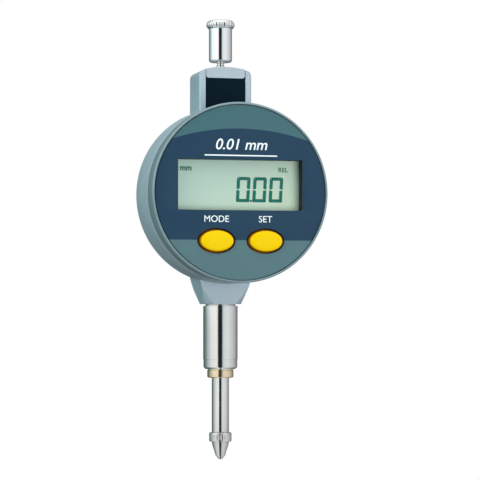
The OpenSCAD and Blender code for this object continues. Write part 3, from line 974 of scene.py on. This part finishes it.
@dataclass
class CaseShell(Assembly):
    """The case with its tower, cap and dark front strip, and the covers at its back."""

    edge: float = 0.22 * MM
    fine_edge: float = 0.1 * MM

    def build(self) -> None:
        """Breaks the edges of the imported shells."""
        for node in ("housing", "top_cap"):
            soften(node, self.edge)
        for node in ("tower_panel", "back_cover", "battery_door"):
            soften(node, self.fine_edge)


@dataclass
class ClampStem(Assembly):
    """The ground stem and the brass collar in its lower end."""

    chamfer: float = 0.45 * MM
    relief: float = 0.4 * MM
    shank_step: float = 0.5 * MM
    guide_step: float = 0.07 * MM
    guide_length: float = 2.2 * MM
    guide_slope: float = 0.15 * MM
    relief_edge: float = 0.06 * MM
    relief_root: float = 0.04 * MM
    bore_share: float = 0.75
    sleeve_share: float = 0.745
    spindle_gap: float = 0.03 * MM
    collar_edge: float = 0.22 * MM
    collar_lead: float = 0.3 * MM
    collar_groove: float = 0.12 * MM

    def build(self) -> None:
        """Turns the stem and the collar."""
        self._stem()
        self._collar()

    def _stem(self) -> None:
        """The stem, a hair slimmer over its last stretch."""
        low, high, _ = reach("stem")
        collar_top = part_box("stem_collar")[1].z
        radius = high.x
        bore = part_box("stem_inner_bush")[1].x * self.bore_share
        groove = -low.z - self.relief
        shank = radius - self.shank_step
        slim = radius - self.guide_step
        guide = low.z + self.guide_length
        corners = [
            (bore, collar_top, 0),
            (bore, low.z, FINE_EDGE),
            (slim - self.chamfer, low.z, SMALL_EDGE),
            (slim, low.z + self.chamfer, 0.15 * MM),
            (slim, guide, SMALL_EDGE),
            (radius, guide + self.guide_slope, SMALL_EDGE),
            (radius, groove, self.relief_edge),
            (shank, groove, self.relief_root),
            (shank, high.z, 0),
            (bore, high.z, 0),
        ]
        self.turn("stem_turned", filleted(corners), "polished_steel", "stem")

    def _collar(self) -> None:
        """The collar that guides the spindle, with its sleeve up into the stem."""
        low, high, _ = reach("stem_collar")
        radius = high.x
        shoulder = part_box("stem")[0].z
        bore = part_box("spindle")[1].x + self.spindle_gap
        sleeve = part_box("stem_inner_bush")[1].x * self.sleeve_share
        edge, lead = self.collar_edge, self.collar_lead
        neck = radius - self.collar_groove
        corners = [
            (bore, high.z, 0),
            (bore, low.z + lead, FINE_EDGE),
            (bore + 0.25 * MM, low.z, FINE_EDGE),
            (radius - edge, low.z, edge),
            (radius, low.z + edge, edge),
            (radius, shoulder - 0.35 * MM, SMALL_EDGE),
            (neck, shoulder - lead, FINE_EDGE),
            (neck, shoulder, 0),
            (sleeve, shoulder, 0),
            (sleeve, high.z, 0),
            (bore, high.z, 0),
        ]
        self.turn("collar_turned", filleted(corners), "pale_brass", "stem_collar")


@dataclass
class PlungerSet(Assembly):
    """What is seen of the plunger: the knob and its rod above, spindle and contact point below."""

    body = "plunger"
    rim_radius: float = 1.05 * MM
    body_step: float = 0.4286
    contact_ring: float = 2.2 * MM
    knurl_depth: float = 0.045 * MM
    knob_knurl_share: float = 2.2
    spindle_edge: float = 0.15 * MM
    stud: float = 1.25 * MM
    stud_depth: float = 4 * MM
    rod_neck: float = 0.15 * MM
    rod_land: float = 0.9 * MM
    rod_edge: float = 0.08 * MM
    crown_steps: int = 24
    dish_depth: float = 0.25 * MM
    mesh_step: float = 0.14 * MM

    def build(self) -> None:
        """Turns the spindle, the rod, the knob and the contact point."""
        self._spindle()
        self._rod()
        self._knob()
        self._contact()

    def _spindle(self) -> None:
        """The ground spindle, bored for the rod above and for the contact point's stud below."""
        low, high, _ = reach("spindle")
        radius, edge = high.x, self.spindle_edge
        rod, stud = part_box("knob_rod")[1].x, self.stud
        top_bore, low_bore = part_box("knob_rod")[0].z, low.z + self.stud_depth
        profile = [
            (0.0, top_bore), (rod, top_bore), (rod, high.z), (radius - edge, high.z), (radius, high.z - edge),
            (radius, low.z + edge), (radius - edge, low.z), (stud, low.z), (stud, low_bore), (0.0, low_bore),
        ]
        self.turn("spindle_turned", profile, "polished_steel", "spindle")

    def _rod(self) -> None:
        """The thin rod, necked just under the knob."""
        low, high, _ = reach("knob_rod")
        radius = high.x
        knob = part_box("lifting_knob")[0].z
        neck, land, edge = self.rod_neck, self.rod_land, self.rod_edge
        corners = [
            (0.0, low.z, 0),
            (radius, low.z, 0),
            (radius, knob - land, edge),
            (radius - neck, knob - land + neck, edge),
            (radius - neck, knob - land * 0.4, edge),
            (radius, knob - land * 0.4 + neck, edge),
            (radius, high.z, 0),
            (0.0, high.z, 0),
        ]
        self.turn("knob_rod_turned", filleted(corners), "polished_steel", "knob_rod")

    def _knob(self) -> None:
        """Slim body under a round-edged, lightly knurled flange with a dished top."""
        low, high, _ = reach("lifting_knob")
        rim = self.rim_radius
        rim_at, rim_z = high.x - rim, high.z - rim
        body = rim_at + rim * self.body_step
        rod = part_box("knob_rod")[1].x
        meet = math.acos(self.body_step)
        steps = self.crown_steps
        turns = [math.pi / 2 - (math.pi / 2 + meet) * i / steps for i in range(steps + 1)]
        crown = [(rim_at + rim * math.cos(t), rim_z + rim * math.sin(t)) for t in turns]
        dish_z = high.z - self.dish_depth
        dish = [(0.0, dish_z), (rim_at * 0.7, dish_z), (rim_at * 0.8, high.z)]
        foot = filleted(
            [
                (body, crown[-1][1] - 0.02 * MM, 0),
                (body, low.z + 0.3 * MM, 0.2 * MM),
                (body - 0.3 * MM, low.z, 0.15 * MM),
                (rod + 0.45 * MM, low.z, 0.1 * MM),
                (rod + 0.3 * MM, low.z + 0.45 * MM, 0),
                (rod, low.z + 0.45 * MM, 0),
            ]
        )
        dense = subdivided(dish + crown + foot, self.mesh_step)
        depth = self.knurl_depth * self.knob_knurl_share
        knurl = Knurl(rim_z - rim * 0.75, high.z - 0.15 * MM, 26, depth, blend=0.4 * MM)
        self.turn("lifting_knob_turned", dense, "knob_steel", "lifting_knob", 352, knurl)

    def _contact(self) -> None:
        """Knurled ring, straight cone and the socket of the ball."""
        low, high, _ = reach("contact_body")
        _, ball_high, _ = reach("contact_ball")
        ring_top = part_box("spindle")[0].z
        radius = high.x
        ring_low = ring_top - self.contact_ring
        cone = radius - 0.55 * MM
        stud = self.stud
        neck = cone - 0.14 * MM
        seat = ball_high.x + 0.25 * MM
        profile = filleted(
            [
                (0.0, high.z, 0),
                (stud, high.z, 0.1 * MM),
                (stud, ring_top, 0),
                (radius - 0.65 * MM, ring_top, 0.1 * MM),
                (radius, ring_top - 0.1 * MM, 0.75 * MM),
                (radius, ring_low + 0.05 * MM, 0.75 * MM),
                (radius - 0.65 * MM, ring_low, 0.1 * MM),
                (neck, ring_low, FINE_EDGE),
                (neck, ring_low - 0.2 * MM, FINE_EDGE),
                (cone - 0.06 * MM, ring_low - 0.3 * MM, FINE_EDGE),
                (seat, low.z + 0.2 * MM, 0.4 * MM),
                (seat - 0.35 * MM, low.z, 0.05 * MM),
                (0.0, low.z, 0),
            ],
            steps=6,
        )
        dense = subdivided(profile, self.mesh_step)
        knurl = Knurl(ring_low + 0.15 * MM, ring_top - 0.15 * MM, 32, self.knurl_depth, blend=0.5 * MM)
        self.turn("contact_point_turned", dense, "contact_steel", "contact_body", 320, knurl)


def subdivided(line: list[Point], step: float) -> list[Point]:
    """Adds points so that no stretch of a line is longer than step.

    Args:
        line: The line.
        step: The longest stretch allowed.

    Returns:
        The denser line.
    """
    dense = [line[0]]
    for start, end in zip(line, line[1:]):
        parts = max(1, math.ceil(math.dist(start, end) / step))
        dense.extend(
            (start[0] + (end[0] - start[0]) * i / parts, start[1] + (end[1] - start[1]) * i / parts)
            for i in range(1, parts + 1)
        )
    return dense


@dataclass
class Display(Assembly):
    """Face plate, screen and print of the swivelling head."""

    body = "display_head"
    band_top: float = 14.3 * MM
    band_bottom: float = -10.7 * MM
    band_arc: float = 50.0 * MM
    window_corner: float = 0.35 * MM
    digit_height: float = 5.6 * MM
    digit_width: float = 3.05 * MM
    digit_pitch: float = 3.83 * MM
    digit_right: float = 10.35 * MM
    stroke: float = 0.66 * MM
    slant: float = 0.06
    shell_edge: float = 0.12 * MM
    window_lap: float = 0.55 * MM
    button_lap: float = 0.14 * MM
    plate_edge: float = 0.08 * MM

    def __post_init__(self) -> None:
        """Reads the places that the frame gives."""
        self.low, self.high, self.mid = reach("face_plate")
        self.window_low, self.window_high, _ = reach("screen_panel")

    def build(self) -> None:
        """Builds the face, the screen's segments and the print."""
        self._face()
        self._digits()
        self._tags()
        self._print()
        soften("head_shell", self.shell_edge)

    def _face(self) -> None:
        """The face plate with softly rounded openings, in its printed foil."""
        radius = (self.high.x - self.low.x) / 2
        lap = self.window_lap
        window = round_box_points(
            self.window_low.x + lap, self.window_high.x - lap,
            self.window_low.z + lap, self.window_high.z - lap, self.window_corner,
        )
        openings = []
        for node in ("mode_button", "set_button"):
            low, high, mid = reach(node)
            half = (high.x - low.x) / 2 - self.button_lap
            squash = (high.z - low.z - 2 * self.button_lap) / 2 / half
            openings.append(circle_points(half, mid.x, mid.z, 96, squash))
        finish = PrintedFace(
            "face_foil", self.mid.z, radius, self.band_top, self.band_bottom, self.band_arc
        )
        outlines = [circle_points(radius, self.mid.x, self.mid.z, 256), window, *openings]
        plate = Plate("face_plate_foil", outlines, finish, self.low.y, self.high.y, self.plate_edge)
        self.keep(plate.build(), "face_plastic", ["face_plate"])

    def _segments(self, right: float, base: float) -> list[list[Point]]:
        """Outlines of the six segments of a nought.

        Args:
            right: The digit's right side.
            base: Its foot.

        Returns:
            One outline for each segment.
        """
        w, h, t = self.digit_width, self.digit_height, self.stroke
        gap, half, tip = 0.14 * MM, self.digit_height / 2, t * 0.4
        left = right - w
        bars = [
            [(gap, h), (w - gap, h), (w - t * 0.9, h - t), (t * 0.9, h - t)],
            [(t * 0.9, t), (w - t * 0.9, t), (w - gap, 0), (gap, 0)],
            [(w, h - gap), (w, half + gap), (w - t * 0.5, half + gap), (w - t, half + tip), (w - t, h - t)],
            [(w, half - gap), (w, gap), (w - t, t), (w - t, half - tip), (w - t * 0.5, half - gap)],
            [(0, half - gap), (0, gap), (t, t), (t, half - tip), (t * 0.5, half - gap)],
            [(0, h - gap), (0, half + gap), (t * 0.5, half + gap), (t, half + tip), (t, h - t)],
        ]
        return [[(left + x + z * self.slant, base + z) for x, z in bar] for bar in bars]

    def _digits(self) -> None:
        """Three lit noughts with a point, and their soft shade on the reflector."""
        base = self.mid.z - 1.95 * MM
        front = self.window_low.y - 0.02 * MM
        rights = [self.digit_right - i * self.digit_pitch for i in range(3)]
        on = [outline for right in rights for outline in self._segments(right, base)]
        point_x = rights[2] + (self.digit_pitch - self.digit_width) / 2
        on.append(circle_points(0.24 * MM, point_x + 0.02 * MM, base + 0.26 * MM, 20))
        film = 0.008 * MM
        shade_x, shade_z = 0.12 * MM, -0.1 * MM
        shade = [[(x + shade_x, z + shade_z) for x, z in outline] for outline in on]
        layers = (
            ("digits_on", on, SEGMENT_INK, front - film),
            ("digits_shade", shade, SEGMENT_SHADE, front + film),
        )
        for name, outlines, finish, back in layers:
            self.keep(Plate(name, outlines, finish, back - film, back).build(), "screen_glass")

    def _tags(self) -> None:
        """Small unit and mode tags in the screen's upper corners."""
        y = self.window_low.y - 0.02 * MM
        height = self.mid.z + 5.5 * MM
        unit = lettering("tag_unit", "mm", 1.3 * MM, (-11.9 * MM, height), y, TAG_INK, 0.06 * MM)
        mode = lettering("tag_mode", "REL", 1.05 * MM, (10.7 * MM, height - 0.2 * MM), y, TAG_INK, 0.03 * MM)
        self.keep(unit, "screen_glass")
        self.keep(mode, "screen_glass")

    def _print(self) -> None:
        """The white print on the face: key names and the resolution, with a faint painted glow."""
        y = self.low.y - 0.004 * MM
        row = self.mid.z - 6.05 * MM
        for node, words in (("mode_button", "MODE"), ("set_button", "SET")):
            x = reach(node)[2].x
            name = f"label_{words.lower()}"
            self.keep(lettering(name, words, 1.5 * MM, (x, row), y, WHITE_PRINT_PAINTED_GLOW), "face_plastic")
        middle = self.mid.z + 10.6 * MM
        value = lettering(
            "label_resolution", "0.01 mm", 2.5 * MM, (0.0, middle), y, WHITE_PRINT_PAINTED_GLOW, 0.03 * MM, lean=0.22
        )
        self.keep(value, "face_plastic")
        rule = round_box_points(-8.4 * MM, 8.4 * MM, middle - 2.5 * MM, middle - 2.22 * MM, 0.12 * MM)
        line = Plate("label_rule", [rule], WHITE_PRINT_PAINTED_GLOW, y - 0.012 * MM, y + 0.004 * MM)
        self.keep(line.build(), "face_plastic")


@dataclass
class PushButton(Assembly):
    """One domed push-button over its amber skirt, which is dressed darker as painted shade."""

    node: str
    key: str
    around: int = 128
    skirt_width: float = 0.5 * MM
    crown_height: float = 0.32 * MM
    sharp_deg: float = 40.0

    def __post_init__(self) -> None:
        """Takes the key that it moves with."""
        self.body = self.key

    def build(self) -> None:
        """Builds the crown and the skirt."""
        low, high, mid = reach(self.node)
        plate_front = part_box("face_plate")[0].y
        half_w = (high.x - low.x) / 2 - self.skirt_width
        half_h = (high.z - low.z) / 2 - self.skirt_width
        rim_y = low.y + self.crown_height
        cap = self._shell(
            f"{self.node}_crown",
            [
                (0.0, low.y), (0.35, low.y + 0.012 * MM), (0.62, low.y + 0.05 * MM),
                (0.80, low.y + 0.12 * MM), (0.88, low.y + 0.19 * MM), (0.925, rim_y - 0.03 * MM),
                (0.935, rim_y + 0.06 * MM), (0.92, rim_y + 0.1 * MM), (0.0, rim_y + 0.1 * MM),
            ],
            (half_w, half_h), mid, Slot.button_yellow.value,
        )
        self.keep(cap, "button_yellow", [self.node])
        # The skirt's darker amber finish is painted shade on the button's side.
        skirt = self._shell(
            f"{self.node}_skirt",
            [
                (0.0, rim_y + 0.1 * MM), (0.94, rim_y + 0.1 * MM), (0.965, rim_y + 0.15 * MM),
                (0.99, plate_front - 0.15 * MM), (1.0, plate_front + 0.1 * MM), (1.0, plate_front + 1.5 * MM),
                (1.1, plate_front + 1.55 * MM), (1.1, plate_front + 1.9 * MM), (0.35, plate_front + 2.0 * MM),
                (0.35, high.y), (0.0, high.y),
            ],
            (half_w, half_h), mid, AMBER_SKIRT_PAINTED_SHADE,
        )
        self.keep(skirt, "button_yellow", [self.node])

    def _shell(
        self, name: str, profile: list[Point], half: Point, mid: Vector, finish: Finish
    ) -> bpy.types.Object:
        """An oval shell from a profile of (share of the half width, y).

        Args:
            name: The piece's name.
            profile: The profile from its crown to its foot.
            half: Half width and half height.
            mid: The button's centre.
            finish: What it is dressed in.

        Returns:
            The shell.
        """
        shell = Lathe(name, profile, finish, self.around, along_y=True).build()
        shell.data.transform(Matrix.Diagonal((half[0], 1.0, half[1], 1.0)))
        shell.data.transform(Matrix.Translation((mid.x, 0.0, mid.z)))
        shell.data.set_sharp_from_angle(angle=math.radians(self.sharp_deg))
        return shell


@dataclass
class ReturnSpring(Assembly):
    """Round-wire spring around the thin rod, built at a single length."""

    turns: int = 11
    wire: float = 0.125 * MM
    sides: int = 10
    steps: int = 28

    def build(self) -> None:
        """Sweeps the wire along its coil."""
        low, high, _ = reach("return_spring")
        radius = high.x - self.wire
        shape = bmesh.new()
        count = self.turns * self.steps
        foot, head = low.z + self.wire, high.z - self.wire
        rows = [self._row(shape, i / count, radius, foot, head) for i in range(count + 1)]
        for first, second in zip(rows, rows[1:]):
            for s in range(self.sides):
                t = (s + 1) % self.sides
                shape.faces.new([first[s], first[t], second[t], second[s]])
        shape.faces.new(list(reversed(rows[0])))
        shape.faces.new(rows[-1])
        bmesh.ops.recalc_face_normals(shape, faces=shape.faces)
        mesh = bpy.data.meshes.new("return_spring_wire")
        shape.to_mesh(mesh)
        shape.free()
        spring = object_from("return_spring_wire", mesh, Slot.spring_steel.value, 60.0)
        self.keep(spring, "spring_steel", ["return_spring"])
        travel = next(j for j in frame["joints"] if j["name"] == "plunger_travel")["range_m"][1]
        height = high.z - low.z
        (height - travel) / height
        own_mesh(spring)

    def _row(
        self, shape: bmesh.types.BMesh, t: float, radius: float, low: float, high: float
    ) -> list[bmesh.types.BMVert]:
        """One ring of the wire, at the share t of the coil."""
        turn = 2 * math.pi * self.turns * t
        outward = Vector((math.cos(turn), math.sin(turn), 0.0))
        centre = outward * radius + Vector((0.0, 0.0, low + (high - low) * t))
        ring = []
        for s in range(self.sides):
            a = 2 * math.pi * s / self.sides
            rise = Vector((0, 0, self.wire * math.sin(a)))
            ring.append(shape.verts.new(centre + outward * self.wire * math.cos(a) + rise))
        return ring


@dataclass
class BackPrint(Assembly):
    """Plain marks on the back cover: the cell's polarity and how far the door turns."""

    plus_gap: float = 2.4 * MM
    dot_gap: float = 1.0 * MM
    dot_radius: float = 0.35 * MM

    def build(self) -> None:
        """Puts a plus and two index dots beside the door."""
        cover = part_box("back_cover")[1].y
        low, high, door = reach("battery_door")
        radius = (high.x - low.x) / 2
        y = cover + 0.004 * MM
        aside = (radius + self.plus_gap) * math.sqrt(0.5)
        place = (door.x - aside, door.z - aside)
        plus = lettering("mark_plus", "+", 2.0 * MM, place, y, DARK_PRINT, 0.04 * MM, flip=True)
        self.keep(plus, "cover_metal")
        for i, turn in enumerate((0.0, math.pi / 4)):
            x = door.x - (radius + self.dot_gap) * math.cos(turn)
            z = door.z + (radius + self.dot_gap) * math.sin(turn)
            outline = circle_points(self.dot_radius, x, z, 32)
            dot = Plate(f"mark_dot_{i}", [outline], DARK_PRINT, y - 0.01 * MM, y + 0.012 * MM)
            self.keep(dot.build(), "cover_metal")


# ---------------------------------------------------------------------------------------------
# Camera, light and floor
# ---------------------------------------------------------------------------------------------


@dataclass(frozen=True)
class Glow:
    """Brightness and tint of the studio in one direction around the object."""

    turn_deg: float
    level: float
    tint: Colour = (1.0, 1.0, 1.0)
    lift: float = 1.0

    def stop(self, raised: bool = False) -> tuple[float, Colour]:
        """The ramp's stop for this direction.

        Args:
            raised: True for the light above eye level, which is stronger by the lift.

        Returns:
            Its place on the ramp and its colour, at half the brightness.
        """
        share = 0.5 + self.turn_deg / 360.0
        level = self.level * (self.lift if raised else 1.0) / Studio.ramp_scale
        return share, tuple(channel * level for channel in self.tint)


@dataclass(frozen=True)
class Lamp:
    """A broad soft light that is kept out of the mirror reflections."""

    name: str
    place: tuple[float, float, float]
    size: float
    watts: float
    tint: Colour

    def build(self, aim: Vector) -> None:
        """Adds the light.

        Args:
            aim: The point that it shines at.
        """
        data = bpy.data.lights.new(self.name, "AREA")
        data.shape = "DISK"
        data.size = self.size
        data.energy = self.watts
        data.color = self.tint
        lamp = bpy.data.objects.new(self.name, data)
        lamp.location = self.place
        lamp.rotation_mode = "QUATERNION"
        lamp.rotation_quaternion = (aim - Vector(self.place)).to_track_quat("-Z", "Y")
        lamp.visible_glossy = False
        lamp.visible_camera = False
        bpy.context.scene.collection.objects.link(lamp)


@dataclass
class Studio:
    """Camera, floor and soft surrounding light."""

    ramp_scale = 2.0
    azimuth_deg: float = -14.7
    elevation_deg: float = -1.8
    distance: float = 480 * MM
    aim_right: float = 4.55 * MM
    aim_z: float = 22.4 * MM
    lens: float = 155.0
    sensor: float = 36.0
    crown_light: float = 1.15
    ground_light: float = 0.06
    ground_mirror: float = 0.6
    glows: tuple[Glow, ...] = (
        Glow(-180, 0.16),
        Glow(-128, 0.17, (0.70, 1.0, 1.0), 1.5),
        Glow(-106, 0.41, (0.75, 1.0, 1.0), 1.8),
        Glow(-88, 0.64, (0.88, 1.0, 0.99), 1.75),
        Glow(-62, 0.95, (0.98, 1.0, 0.98), 1.3),
        Glow(-26, 1.08, (1.0, 0.985, 0.94), 1.1),
        Glow(-18, 1.0, (1.0, 0.97, 0.91)),
        Glow(-15, 0.02, (0.5, 0.8, 1.0)),
        Glow(12, 0.02, (0.4, 0.75, 1.0)),
        Glow(16, 0.72, (0.93, 0.97, 1.0)),
        Glow(30, 0.90, (0.95, 0.98, 1.0)),
        Glow(50, 0.95, (0.96, 0.98, 1.0)),
        Glow(84, 0.74, (0.97, 0.98, 1.0)),
        Glow(112, 0.52),
        Glow(135, 0.26),
        Glow(180, 0.16),
    )
    floor_half: float = 120 * MM
    floor_gloss: float = 0.88
    lamps: tuple[Lamp, ...] = (
        Lamp("key", (0.20, -0.80, -0.12), 0.5, 3.9, (0.985, 0.995, 1.0)),
        Lamp("wash", (-0.70, -0.10, 0.30), 0.45, 1.1, (0.25, 1.0, 1.0)),
        Lamp("rear", (0.25, 0.80, 0.30), 0.5, 2.4, (0.97, 1.0, 1.0)),
    )

    def build(self) -> None:
        """Sets up the camera, the lights and the floor."""
        self._camera()
        self._light()
        for lamp in self.lamps:
            lamp.build(Vector((0.0, 0.0, self.aim_z)))
        self._floor()
        settings = bpy.context.scene.view_settings
        settings.view_transform = "Standard"
        settings.look = "None"

    def _forward(self) -> Vector:
        """Direction that the camera looks in, level with the ground."""
        turn = math.radians(self.azimuth_deg)
        return Vector((-math.sin(turn), math.cos(turn), 0.0))

    def _camera(self) -> None:
        """The camera, a little to the left of the display and slightly below its middle."""
        ahead = self._forward()
        right = Vector((ahead.y, -ahead.x, 0.0))
        tilt = math.radians(self.elevation_deg)
        look = ahead * math.cos(tilt) - Vector((0.0, 0.0, math.sin(tilt)))
        aim = right * self.aim_right + Vector((0.0, 0.0, self.aim_z))
        data = bpy.data.cameras.new("camera")
        data.lens = self.lens
        data.sensor_width = self.sensor
        data.clip_start = 0.01
        data.clip_end = 20.0
        camera = bpy.data.objects.new("camera", data)
        camera.location = aim - look * self.distance
        camera.rotation_mode = "QUATERNION"
        camera.rotation_quaternion = look.to_track_quat("-Z", "Y")
        bpy.context.scene.collection.objects.link(camera)
        bpy.context.scene.camera = camera

    def _ring(self, shader: Shader, x: Link, y: Link, raised: bool = False) -> Link:
        """Colour of the studio in a direction.

        Args:
            shader: The tree to add to.
            x: The direction's x.
            y: The direction's y.
            raised: True for the light above eye level.

        Returns:
            The colour, at half the brightness.
        """
        ahead = self._forward()
        towards = x * -ahead.x + y * -ahead.y
        aside = x * ahead.y + y * -ahead.x
        turn = aside.math("ARCTAN2", towards) / (2 * math.pi) + 0.5
        stops = [glow.stop(raised) for glow in self.glows]
        return shader.node("ShaderNodeValToRGB", {"stops": stops}, {0: turn})

    def _light(self) -> None:
        """Soft light all around, by direction, with a dark slot behind the camera."""
        world = bpy.data.worlds.new("studio")
        world.use_nodes = True
        bpy.context.scene.world = world
        shader = Shader(world.node_tree)
        x, y, z = shader.axes(shader.node("ShaderNodeTexCoord", output="Generated"))
        crown = tuple(self.crown_light / self.ramp_scale for _ in range(3))
        ground = tuple(self.ground_light / self.ramp_scale for _ in range(3))
        ring = shader.blend(
            shader.fade(z, 0.03, 0.13), self._ring(shader, x, y), self._ring(shader, x, y, raised=True)
        )
        lifted = shader.blend(shader.fade(z, 0.45, 0.95), ring, crown)
        glossy_ray = shader.node("ShaderNodeLightPath", output="Is Glossy Ray")
        depth = shader.fade(z * -1.0, 0.1, 0.34) * (1.0 - glossy_ray * self.ground_mirror)
        around = shader.blend(depth, lifted, ground)
        lit = shader.node("ShaderNodeBackground", sockets={"Color": around, "Strength": self.ramp_scale})
        seen = shader.node("ShaderNodeBackground", sockets={"Color": (1.0, 1.0, 1.0, 1.0), "Strength": 1.0})
        camera_ray = shader.node("ShaderNodeLightPath", output="Is Camera Ray")
        mixed = shader.node("ShaderNodeMixShader", sockets={0: camera_ray, 1: lit, 2: seen})
        shader.node("ShaderNodeOutputWorld", sockets={"Surface": mixed})

    def _floor(self) -> None:
        """A pale floor that the tip just clears; polished metal sees the studio's ring in it."""
        half = self.floor_half
        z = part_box("contact_ball")[0].z - 0.2 * MM
        mesh = bpy.data.meshes.new("floor")
        corners = [(-half, -half, z), (half, -half, z), (half, half, z), (-half, half, z)]
        mesh.from_pydata(corners, [], [(0, 1, 2, 3)])
        floor = bpy.data.objects.new("floor", mesh)
        bpy.context.scene.collection.objects.link(floor)
        material = bpy.data.materials.new("floor_pale")
        material.use_nodes = True
        shader = Shader(material.node_tree)
        x, y, _ = shader.axes(shader.place())
        lit = shader.node(
            "ShaderNodeBsdfPrincipled", sockets={"Base Color": (0.13, 0.14, 0.15, 1.0), "Roughness": 0.9}
        )
        mirrored = shader.node(
            "ShaderNodeBsdfPrincipled",
            sockets={
                "Base Color": (0.0, 0.0, 0.0, 1.0),
                "Specular IOR Level": 0.0,
                "Emission Color": self._ring(shader, x, y),
                "Emission Strength": self.ramp_scale * self.floor_gloss,
            },
        )
        seen = shader.node("ShaderNodeEmission", sockets={"Color": (1.0, 1.0, 1.0, 1.0), "Strength": 1.0})
        glossy_ray = shader.node("ShaderNodeLightPath", output="Is Glossy Ray")
        camera_ray = shader.node("ShaderNodeLightPath", output="Is Camera Ray")
        unseen = shader.node("ShaderNodeMixShader", sockets={0: glossy_ray, 1: lit, 2: mirrored})
        mixed = shader.node("ShaderNodeMixShader", sockets={0: camera_ray, 1: unseen, 2: seen})
        shader.node("ShaderNodeOutputMaterial", sockets={"Surface": mixed})
        mesh.materials.append(material)


def main() -> None:
    """Builds every sub-assembly in order."""
    logging.basicConfig(level=logging.INFO, format="%(name)s: %(message)s")
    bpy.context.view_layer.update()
    Studio().build()
    PackedNodes().dress()
    groups: list[Any] = [
        CaseShell(),
        ClampStem(),
        PlungerSet(),
        ReturnSpring(),
        Display(),
        PushButton("mode_button", "mode_key"),
        PushButton("set_button", "set_key"),
        BackPrint(),
    ]
    for group in groups:
        group.build()
        LOG.info("%s: %d new pieces", type(group).__name__, len(group.made))


if __name__ == "__main__":
    main()
